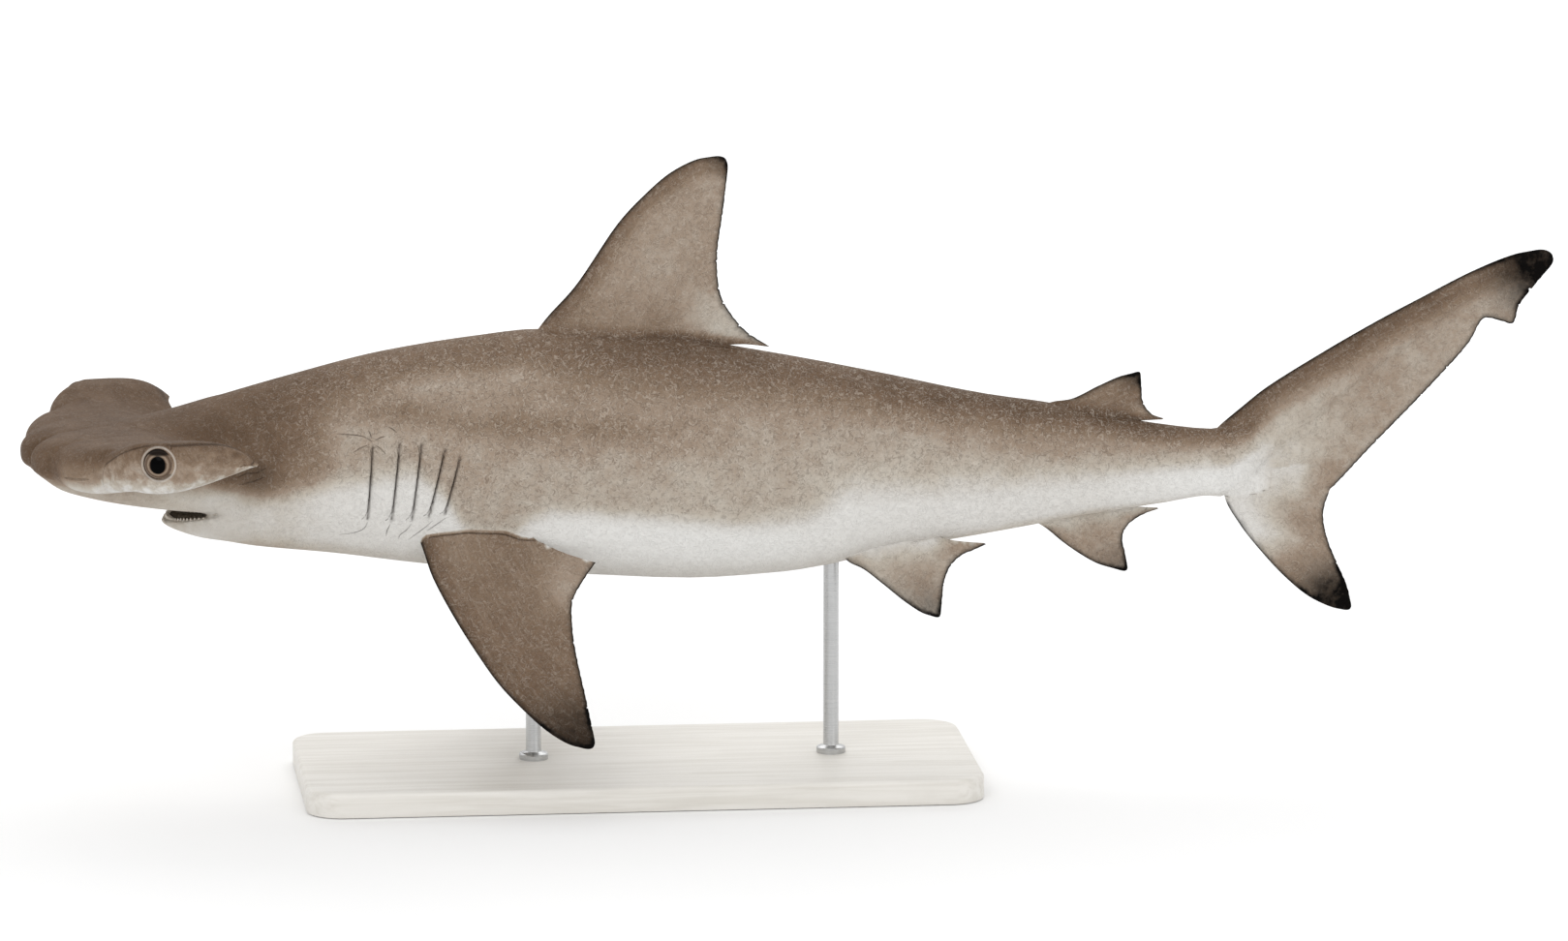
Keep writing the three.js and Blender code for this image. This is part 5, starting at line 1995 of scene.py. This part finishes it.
@dataclass(frozen=True)
class SkinFinish:
    """Brown back fading to a pale belly, with fine wrinkles and dusky fins, and painted shade in
    hollows, creases and behind the wings.
    """

    tones: Stops = (
        (0.0, Colour(92, 73, 57)), (0.16, Colour(113, 93, 76)), (0.34, Colour(132, 113, 95)),
        (0.5, Colour(154, 137, 121)), (0.68, Colour(187, 179, 167)), (0.84, Colour(209, 206, 201)),
        (1.0, Colour(223, 222, 219)))
    # Dark of the fins' dusky tips and edges, and of the painted shadow behind the wings.
    dusk_and_painted_shade: Colour = Colour(6, 4, 3)
    # Colour of the painted shade in the gill slits, the gaps round the eyes and the nostrils.
    hollow: Colour = Colour(22, 17, 15)
    curl_light: Colour = Colour(206, 196, 184)
    curl_shade: Colour = Colour(72, 60, 50)
    ray: Colour = Colour(188, 176, 162)
    # Colour of the painted shade in creases: the gill slits, the fine folds, the brow line and the
    # tail's seam.
    fold: Colour = Colour(40, 28, 20)
    lid_ring: Colour = Colour(214, 207, 198)
    roughness: float = 0.52

    def material(self) -> Material:
        """Builds the skin's material.

        Returns:
            The material.
        """
        material, bench, shader = start_material("shark_skin")
        place = bench.place()
        (tone, dark, hollow_shade), (ray_out, ray_in, fin), (patch, crease_shade, wrinkle), (way, seam, lid) = (
            bench.apart(bench.mark(name)) for name in ("coat", "lay", "face", "trace"))
        blotch, grain = bench.speckle(place, 26.0, 1100.0)
        cloud = bench.noise(place, 95.0, 6.0, 0.68)
        curls = bench.curls(place, 235.0, 0.046, 0.85)
        small = bench.curls(place, 430.0, 0.06, 0.95)
        drift = blotch.fit(0.25, 0.75, -0.045, 0.045) + cloud.fit(0.25, 0.75, -0.045, 0.045)
        level = tone + drift * tone.fit(0.6, 0.9, 1.0, 0.3)
        blots = bench.noise(place, 120.0, 3.0, 0.6).fit(0.36, 0.64, 0.1, -0.1)
        level = (level + patch * blots).held()
        pale = level.fit(0.6, 0.95, 1.0, 0.12) * wrinkle * fin.fit(0.0, 1.0, 1.0, 0.62)
        colour = level.ramp(self.tones)
        colour = colour.blend((curls[0] * 0.26 + small[0] * 0.12) * pale, self.curl_light)
        # Painted shade beside each wrinkle's pale line.
        colour = colour.blend((curls[1] * 0.26 + small[1] * 0.14) * pale, self.curl_shade)
        rays = bench.noise(bench.vector(ray_out * 0.55, ray_in * 0.045, 0.0), 1.0, 2.5, 0.55, 0.4)
        colour = colour.blend(rays.fit(0.5, 0.66) * fin * 0.1, self.ray)
        # Darkness of the fins' dusky tips and edges, with the painted shadow behind the wings, made
        # uneven by the cloud.
        worn = dark + cloud.fit(0.3, 0.7, -0.12, 0.12) * dark.fit(0.1, 0.6)
        colour = colour.blend(worn.held(), self.dusk_and_painted_shade)
        # Painted shade in creases: dark lines along the brow line, the tail's seam, the gill slits and
        # the fine folds.
        brow = abs(way).fit(0.3, 1.1, 0.62, 0.0)
        base = seam.fit(0.15, 0.9, 0.6, 0.0)
        line = bench.math("MAXIMUM", crease_shade, bench.math("MAXIMUM", brow, base))
        colour = colour.blend(line * 0.85, self.fold)
        colour = colour.blend(lid.fit(10.0, 10.7) * lid.fit(11.0, 12.0, 1.0, 0.0) * 0.5, self.lid_ring)
        # Painted shade in the hollows.
        colour = colour.blend(hollow_shade.fit(0.15, 0.9), self.hollow)
        height = curls[2] * 0.55 + small[2] * 0.3 + grain * 0.55 + cloud * 0.8 + rays * fin * 1.2
        rough = grain.fit(0.3, 0.7, self.roughness - 0.08, self.roughness + 0.1)
        bench.leave(shader, Base_Color=colour, Roughness=rough,
                    Normal=bench.relief(0.55, 0.0006, height))
        shader.inputs["Specular IOR Level"].default_value = 0.05
        return material


@dataclass(frozen=True)
class EyeFinish:
    """Glossy eye with a dark rim, a ringed brown iris, a black pupil and a painted shadow of the brow
    across its top.
    """

    rings: Stops = (
        (0.0, Colour(16, 12, 10)), (0.46, Colour(58, 45, 36)), (0.53, Colour(124, 106, 90)),
        (0.58, Colour(158, 141, 124)), (0.66, Colour(112, 94, 79)), (0.74, Colour(88, 72, 60)),
        (0.80, Colour(138, 121, 106)), (0.85, Colour(46, 37, 31)), (0.92, Colour(20, 16, 14)),
        (1.0, Colour(20, 16, 14)))
    fleck: Colour = Colour(60, 48, 39)
    pupil: Colour = Colour(2, 2, 2)
    # Colour of the painted shadow of the brow over the eye.
    brow: Colour = Colour(14, 11, 10)
    roughness: float = 0.07

    def material(self) -> Material:
        """Builds the eye's material.

        Returns:
            The material.
        """
        material, bench, shader = start_material("shark_eye")
        gaze = bench.mark("gaze")
        along, up, _ = bench.apart(gaze)
        radius = bench.math("SQRT", along * along + up * up)
        angle = bench.math("ARCTAN2", up, along)
        spoke = bench.vector(bench.math("SINE", angle) * 9.0, bench.math("COSINE", angle) * 9.0,
                             radius * 0.35)
        wobble = radius + bench.noise(spoke, 1.6, 4.0, 0.7).fit(0.3, 0.7, -0.18, 0.18)
        blotch, grain = bench.speckle(gaze, 0.6, 3.0)
        colour = (wobble / 11.0).ramp(self.rings).blend(grain.fit(0.35, 0.7, 0.0, 0.35), self.fleck)
        pupil = radius - (abs(bench.math("SINE", angle)) * 0.9 + 4.7)
        colour = colour.blend(pupil.fit(-0.18, 0.18, 1.0, 0.0), self.pupil)
        # Painted shadow of the brow over the top of the eye.
        colour = colour.blend((up + abs(along) * -0.12).fit(4.6, 6.4, 0.0, 0.92), self.brow)
        rough = blotch.fit(0.3, 0.7, self.roughness, self.roughness + 0.05)
        bench.leave(shader, Base_Color=colour, Roughness=rough)
        shader.inputs["Specular IOR Level"].default_value = 0.035
        return material


@dataclass(frozen=True)
class ToothFinish:
    """Ivory enamel with a soft mottle."""

    tones: Stops = ((0.3, Colour(196, 186, 172)), (0.7, Colour(232, 226, 216)))
    roughness: float = 0.22

    def material(self) -> Material:
        """Builds the teeth's material.

        Returns:
            The material.
        """
        material, bench, shader = start_material("shark_tooth")
        blotch, grain = bench.speckle(bench.place(), 220.0, 1500.0)
        rough = grain.fit(0.3, 0.7, self.roughness, self.roughness + 0.12)
        bench.leave(shader, Base_Color=blotch.ramp(self.tones), Roughness=rough,
                    Normal=bench.relief(0.3, 0.0001, grain))
        return material


@dataclass(frozen=True)
class PaintedWoodFinish:
    """Off-white painted wood with a faint grain under the paint."""

    pale: Colour = Colour(226, 223, 217)
    warm: Colour = Colour(212, 208, 200)
    worn: Colour = Colour(203, 199, 191)
    roughness: float = 0.42

    def material(self) -> Material:
        """Builds the base's material.

        Returns:
            The material.
        """
        material, bench, shader = start_material("stand_base_paint")
        place = bench.place()
        run = bench.out("ShaderNodeMapping", {0: place, 3: (1.6, 34.0, 34.0)})
        wood = bench.noise(run, 5.0, 6.0, 0.62, 0.5)
        blotch, grain = bench.speckle(place, 14.0, 700.0)
        colour = bench.mix(wood.fit(0.35, 0.7), self.pale, self.warm)
        colour = colour.blend(blotch.fit(0.45, 0.75, 0.0, 0.22), self.worn)
        rough = grain.fit(0.3, 0.7, self.roughness - 0.06, self.roughness + 0.08)
        bench.leave(shader, Base_Color=colour, Roughness=rough,
                    Normal=bench.relief(0.4, 0.0004, wood + grain * 0.25))
        return material


@dataclass(frozen=True)
class BrushedSteelFinish:
    """Satin steel brushed round the rod."""

    tones: Stops = ((0.25, Colour(176, 177, 178)), (0.75, Colour(206, 206, 205)))
    cloud: Colour = Colour(160, 160, 160)
    roughness: float = 0.3

    def material(self) -> Material:
        """Builds the rods' material.

        Returns:
            The material.
        """
        material, bench, shader = start_material("stand_rod_steel")
        place = bench.place()
        run = bench.out("ShaderNodeMapping", {0: place, 3: (14.0, 14.0, 2600.0)})
        brush = bench.noise(run, 1.0, 4.0, 0.7)
        blotch, _ = bench.speckle(place, 60.0, 900.0)
        colour = brush.ramp(self.tones).blend(blotch.fit(0.5, 0.8, 0.0, 0.25), self.cloud)
        rough = brush.fit(0.3, 0.7, self.roughness - 0.06, self.roughness + 0.08)
        bench.leave(shader, Base_Color=colour, Roughness=rough, Normal=bench.relief(0.25, 0.0001, brush))
        shader.inputs["Metallic"].default_value = 1.0
        return material


@dataclass(frozen=True)
class FloorFinish:
    """Plain pale studio floor."""

    pale: Colour = Colour(246, 246, 246)
    shade: Colour = Colour(232, 232, 232)

    def material(self) -> Material:
        """Builds the floor's material.

        Returns:
            The material.
        """
        material, bench, shader = start_material("studio_floor")
        blotch, _ = bench.speckle(bench.place(), 1.5, 200.0)
        colour = bench.mix(blotch.fit(0.3, 0.8, 0.0, 0.05), self.pale, self.shade)
        bench.leave(shader, Base_Color=colour)
        shader.inputs["Roughness"].default_value = 0.9
        shader.inputs["Specular IOR Level"].default_value = 0.1
        return material


@dataclass
class Eyes:
    """The two eyes, each a domed glossy body in its socket."""

    head: Head
    bend: NeckBend
    finish: EyeFinish = field(default_factory=EyeFinish)

    def build(self) -> list[Thing]:
        """Builds both eyes in the row frame.

        Returns:
            The eye objects, left and right.
        """
        material = self.finish.material()
        made = []
        for side in Side:
            form = self.head.eye_form(side, self.head.eye_radius, self.head.eye_depth, 96)
            eye = Workshop.bench(f"eye_{side.name.lower()}_dressed", form)
            centre, along, look, up = self.head.eye_axes(side)
            gap = form.points - centre
            Workshop.mark(eye.data, "gaze", np.stack([gap @ along, gap @ up, gap @ look], 1))
            Workshop.set_points(eye.data, self.bend.place(form.points))
            eye.data.materials.append(material)
            eye.data.shade_smooth()
            made.append(eye)
        return made


@dataclass
class Teeth:
    """Rows of small pointed teeth along both jaws."""

    head: Head
    bend: NeckBend
    pitch: float = 2.2
    row_half: float = 29.5
    height: float = 3.1
    width: float = 0.0011
    flatness: float = 0.5
    finish: ToothFinish = field(default_factory=ToothFinish)

    def row(self, upper: bool) -> tuple[Array, Array, Array]:
        """Feet, directions and sizes of the teeth of one jaw.

        Args:
            upper: True for the upper jaw.

        Returns:
            Points, unit directions and heights, in millimetres.
        """
        head = self.head
        shift = 0.5 * self.pitch if upper else 0.0
        out = np.arange(-self.row_half + shift, self.row_half, self.pitch)
        inset = 4.4 if upper else 3.3
        at = head.jaw_arch(out, inset)
        foot = head.snout_under(at, out) + 0.9 if upper else head.jaw_top(at) - 0.7
        lean = np.stack([np.full(len(out), -0.12 if upper else -0.2), 0.006 * out,
                         np.full(len(out), -1.0 if upper else 1.0)], 1)
        lean /= lengths(lean)[:, None]
        size = self.height * (0.8 if upper else 1.0) * (1 - 0.5 * (out / self.row_half) ** 2)
        size *= 1 + 0.12 * np.sin(out * 2.7 + (1.0 if upper else 0.0))
        return np.stack([at, out, foot], 1), lean, size

    def tree(self, material: Material) -> Tree:
        """Builds the geometry nodes that stand a tooth on each marked point.

        Args:
            material: Finish of the teeth.

        Returns:
            The node tree.
        """
        tree = bpy.data.node_groups.new("tooth_rows", "GeometryNodeTree")
        tree.interface.new_socket("Geometry", in_out="INPUT", socket_type="NodeSocketGeometry")
        for label, default in (("Width", 0.0009), ("Flatness", 0.55)):
            socket = tree.interface.new_socket(label, in_out="INPUT", socket_type="NodeSocketFloat")
            socket.default_value = default
        tree.interface.new_socket("Geometry", in_out="OUTPUT", socket_type="NodeSocketGeometry")
        bench = NodeBench(tree)
        points, width, flatness, *_ = bench.parts(bench.node("NodeGroupInput"))
        cone = bench.out("GeometryNodeMeshCone", {
            "Vertices": 8, "Side Segments": 3, "Radius Top": 0.00005, "Radius Bottom": width,
            "Depth": 1.0}, {"fill_type": "TRIANGLE_FAN"}, "Mesh")
        flat = bench.vector(1.0, flatness, 1.0)
        shaped = bench.out("GeometryNodeTransform", {"Geometry": cone, "Scale": flat})
        read = "GeometryNodeInputNamedAttribute"
        stand = bench.out(read, {0: "stand"}, {"data_type": "FLOAT_VECTOR"})
        size = bench.out(read, {0: "size"}, {"data_type": "FLOAT"})
        turn = bench.out("FunctionNodeAlignRotationToVector", {"Vector": stand}, {"axis": "Z"})
        put = bench.out("GeometryNodeInstanceOnPoints", {
            "Points": points, "Instance": shaped, "Rotation": turn,
            "Scale": bench.vector(1.0, 1.0, size)})
        real = bench.out("GeometryNodeRealizeInstances", {0: put})
        dress = bench.out("GeometryNodeSetMaterial", {0: real, "Material": material})
        bench.leave(bench.node("NodeGroupOutput"), Geometry=dress)
        return tree

    def build(self) -> list[Thing]:
        """Builds the two rows in the row frame.

        Returns:
            The tooth rows, lower and upper.
        """
        material = self.finish.material()
        tree = self.tree(material)
        made = []
        for name, upper in (("teeth_lower", False), ("teeth_upper", True)):
            feet, lean, size = self.row(upper)
            placed = self.bend.place(feet)
            ahead = self.bend.place(feet + lean) - placed
            ahead /= lengths(ahead)[:, None]
            row = Workshop.bench(name, Form(placed, []))
            Workshop.mark(row.data, "stand", ahead)
            layer = row.data.attributes.new("size", "FLOAT", "POINT")
            layer.data.foreach_set("value", (size / 1000).astype(np.float32))
            change = row.modifiers.new("rows", "NODES")
            change.node_group = tree
            sockets = {item.name: item.identifier for item in tree.interface.items_tree
                       if item.item_type == "SOCKET" and item.in_out == "INPUT"}
            change[sockets["Width"]] = self.width
            change[sockets["Flatness"]] = self.flatness
            Workshop.settle(row)
            row.data.shade_smooth()
            made.append(row)
        return made


@dataclass
class Stand:
    """Painted base and two steel rods, with a small collar at the foot of each rod."""

    base_half: tuple[float, float] = (220.0, 95.0)
    base_height: float = 16.0
    corner: float = 24.0
    rounding: float = 2.4
    rod_radius: float = 5.0
    rod_stations: tuple[float, float] = (333.0, 528.0)
    paint: PaintedWoodFinish = field(default_factory=PaintedWoodFinish)
    steel: BrushedSteelFinish = field(default_factory=BrushedSteelFinish)

    def base(self, material: Material) -> Thing:
        """Builds the base with softly rounded edges.

        Args:
            material: Its finish.

        Returns:
            The base object, in metres.
        """
        half_x, half_y = self.base_half
        rings = []
        for inset, level in self.edge_steps():
            corner = self.corner - inset
            points = []
            for quarter, (sx, sy) in enumerate(((1, 1), (-1, 1), (-1, -1), (1, -1))):
                for k in range(13):
                    angle = math.pi / 2 * (quarter + k / 12)
                    points.append((sx * (half_x - self.corner) + corner * math.cos(angle),
                                   sy * (half_y - self.corner) + corner * math.sin(angle), level))
            rings.append(points)
        return Workshop.dressed("stand_base_dressed", loft(np.array(rings)), material, sharp=40)

    def edge_steps(self) -> list[tuple[float, float]]:
        """Insets and levels of the base's outline, from the underside up.

        Returns:
            Pairs of inset and level.
        """
        steps = [(1.0, 0.0), (0.3, 0.3), (0.0, 1.0)]
        for k in range(7):
            angle = math.pi / 2 * k / 6
            steps.append((self.rounding * (1 - math.cos(angle)),
                          self.base_height - self.rounding + self.rounding * math.sin(angle)))
        steps.append((8.0, self.base_height))
        return steps

    def rod(self, index: int, station: float, trunk: Trunk, bend: NeckBend,
            material: Material) -> Thing:
        """Builds one rod with its collar, up to the belly.

        Args:
            index: Number of the rod.
            station: Station of the body that it holds.
            trunk: Body that it holds.
            bend: Place of the body over the stand.
            material: Its finish.

        Returns:
            The rod object, in metres.
        """
        top = bend.body_level + float(trunk.belly(station)) + 3.0
        foot = self.base_height
        radius = self.rod_radius
        outline = [(9.5, 0.0), (9.5, 3.2), (9.0, 3.9), (8.2, 4.2), (radius + 0.9, 4.6),
                   (radius + 0.2, 5.2), (radius, 6.2), (radius, 0.5 * (top - foot)),
                   (radius, top - foot)]
        turn = circle(40)
        x = station - bend.stand_station
        rings = [[(x + r * math.cos(t), r * math.sin(t), foot + h) for t in turn] for r, h in outline]
        return Workshop.dressed(f"stand_rod_{index}_dressed", loft(np.array(rings)), material, sharp=35)


@dataclass(frozen=True)
class Studio:
    """Pale floor, soft lights and the camera."""

    target: tuple[float, float, float] = (0.0972, 0.0, 0.204)
    distance: float = 7.083
    azimuth: float = math.radians(-6)
    elevation: float = math.radians(11)
    lens: float = 250.0

    def camera(self) -> Thing:
        """Sets the camera up on the shark's left, a little ahead of it and above.

        Returns:
            The camera.
        """
        way = Vector((math.sin(self.azimuth) * math.cos(self.elevation),
                      -math.cos(self.azimuth) * math.cos(self.elevation), math.sin(self.elevation)))
        data = bpy.data.cameras.new("camera")
        data.lens = self.lens
        data.sensor_width = 36.0
        data.sensor_fit = "HORIZONTAL"
        data.clip_end = 100.0
        made = bpy.data.objects.new("camera", data)
        made.location = Vector(self.target) + way * self.distance
        made.rotation_euler = way.to_track_quat("Z", "Y").to_euler()
        bpy.context.scene.collection.objects.link(made)
        bpy.context.scene.camera = made
        return made

    def floor(self) -> Thing:
        """Lays the floor.

        Returns:
            The floor.
        """
        half, level = 30.0, -0.0004
        corners = np.array([[-half, -half], [half, -half], [half, half], [-half, half]])
        made = Workshop.bench("floor", Form(raised(corners, level), [(0, 1, 2, 3)]))
        made.data.materials.append(FloorFinish().material())
        return made

    def lights(self) -> None:
        """Hangs the soft lights and sets the room's pale glow."""
        bpy.context.scene.view_settings.view_transform = "Standard"
        for name, place, size, power in (
                ("key", (-1.2, -3.0, 2.2), 2.2, 28.0), ("fill", (2.2, -3.0, 1.2), 2.4, 10.0),
                ("wash", (0.2, 3.0, 2.6), 5.0, 70.0)):
            data = bpy.data.lights.new(name, "AREA")
            data.shape = "DISK"
            data.size = size
            data.energy = power
            lamp = bpy.data.objects.new(name, data)
            lamp.location = place
            if name != "wash":
                way = Vector(place) - Vector((0.1, 0.0, 0.2))
                lamp.rotation_euler = way.to_track_quat("Z", "Y").to_euler()
            bpy.context.scene.collection.objects.link(lamp)
        world = bpy.data.worlds.new("studio")
        world.use_nodes = True
        world.node_tree.nodes["Background"].inputs[0].default_value = (1.0, 1.0, 1.0, 1.0)
        world.node_tree.nodes["Background"].inputs[1].default_value = 0.86
        bpy.context.scene.world = world


FLESH = ("head", "lower_jaw", "gill_region", "torso_front", "torso_rear", "tail_stalk", "caudal_fin",
         "first_dorsal_fin", "second_dorsal_fin", "anal_fin", "pectoral_fin_left", "pectoral_fin_right",
         "pelvic_fin_left", "pelvic_fin_right")


def main() -> None:
    """Builds the dressed shark, its stand and the studio."""
    logging.basicConfig(level=logging.INFO, format="%(name)s: %(message)s")
    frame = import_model()
    LOG.info("frame is read: %d nodes", len(frame["nodes"]))
    studio = Studio()
    studio.camera()
    studio.floor()
    studio.lights()
    skin = Skin()
    body = skin.build()
    body.data.materials.clear()
    body.data.materials.append(SkinFinish().material())
    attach(body, "root")
    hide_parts(*FLESH)
    LOG.info("skin is on")
    for eye in Eyes(skin.head, skin.bend).build():
        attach(eye, "root")
        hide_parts(eye.name.replace("_dressed", ""))
        LOG.info("%s is in", eye.name)
    for row in Teeth(skin.head, skin.bend).build():
        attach(row, "root")
        LOG.info("%s has %d faces", row.name, len(row.data.polygons))
    stand = Stand()
    base = stand.base(stand.paint.material())
    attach(base, "root")
    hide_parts("stand_base")
    steel = stand.steel.material()
    nodes = ("stand_rod_front", "stand_rod_rear")
    for index, (node, station) in enumerate(zip(nodes, stand.rod_stations), 1):
        rod = stand.rod(index, station, skin.trunk, skin.bend, steel)
        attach(rod, "root")
        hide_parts(node)
    LOG.info("stand is up")


if __name__ == "__main__":
    main()
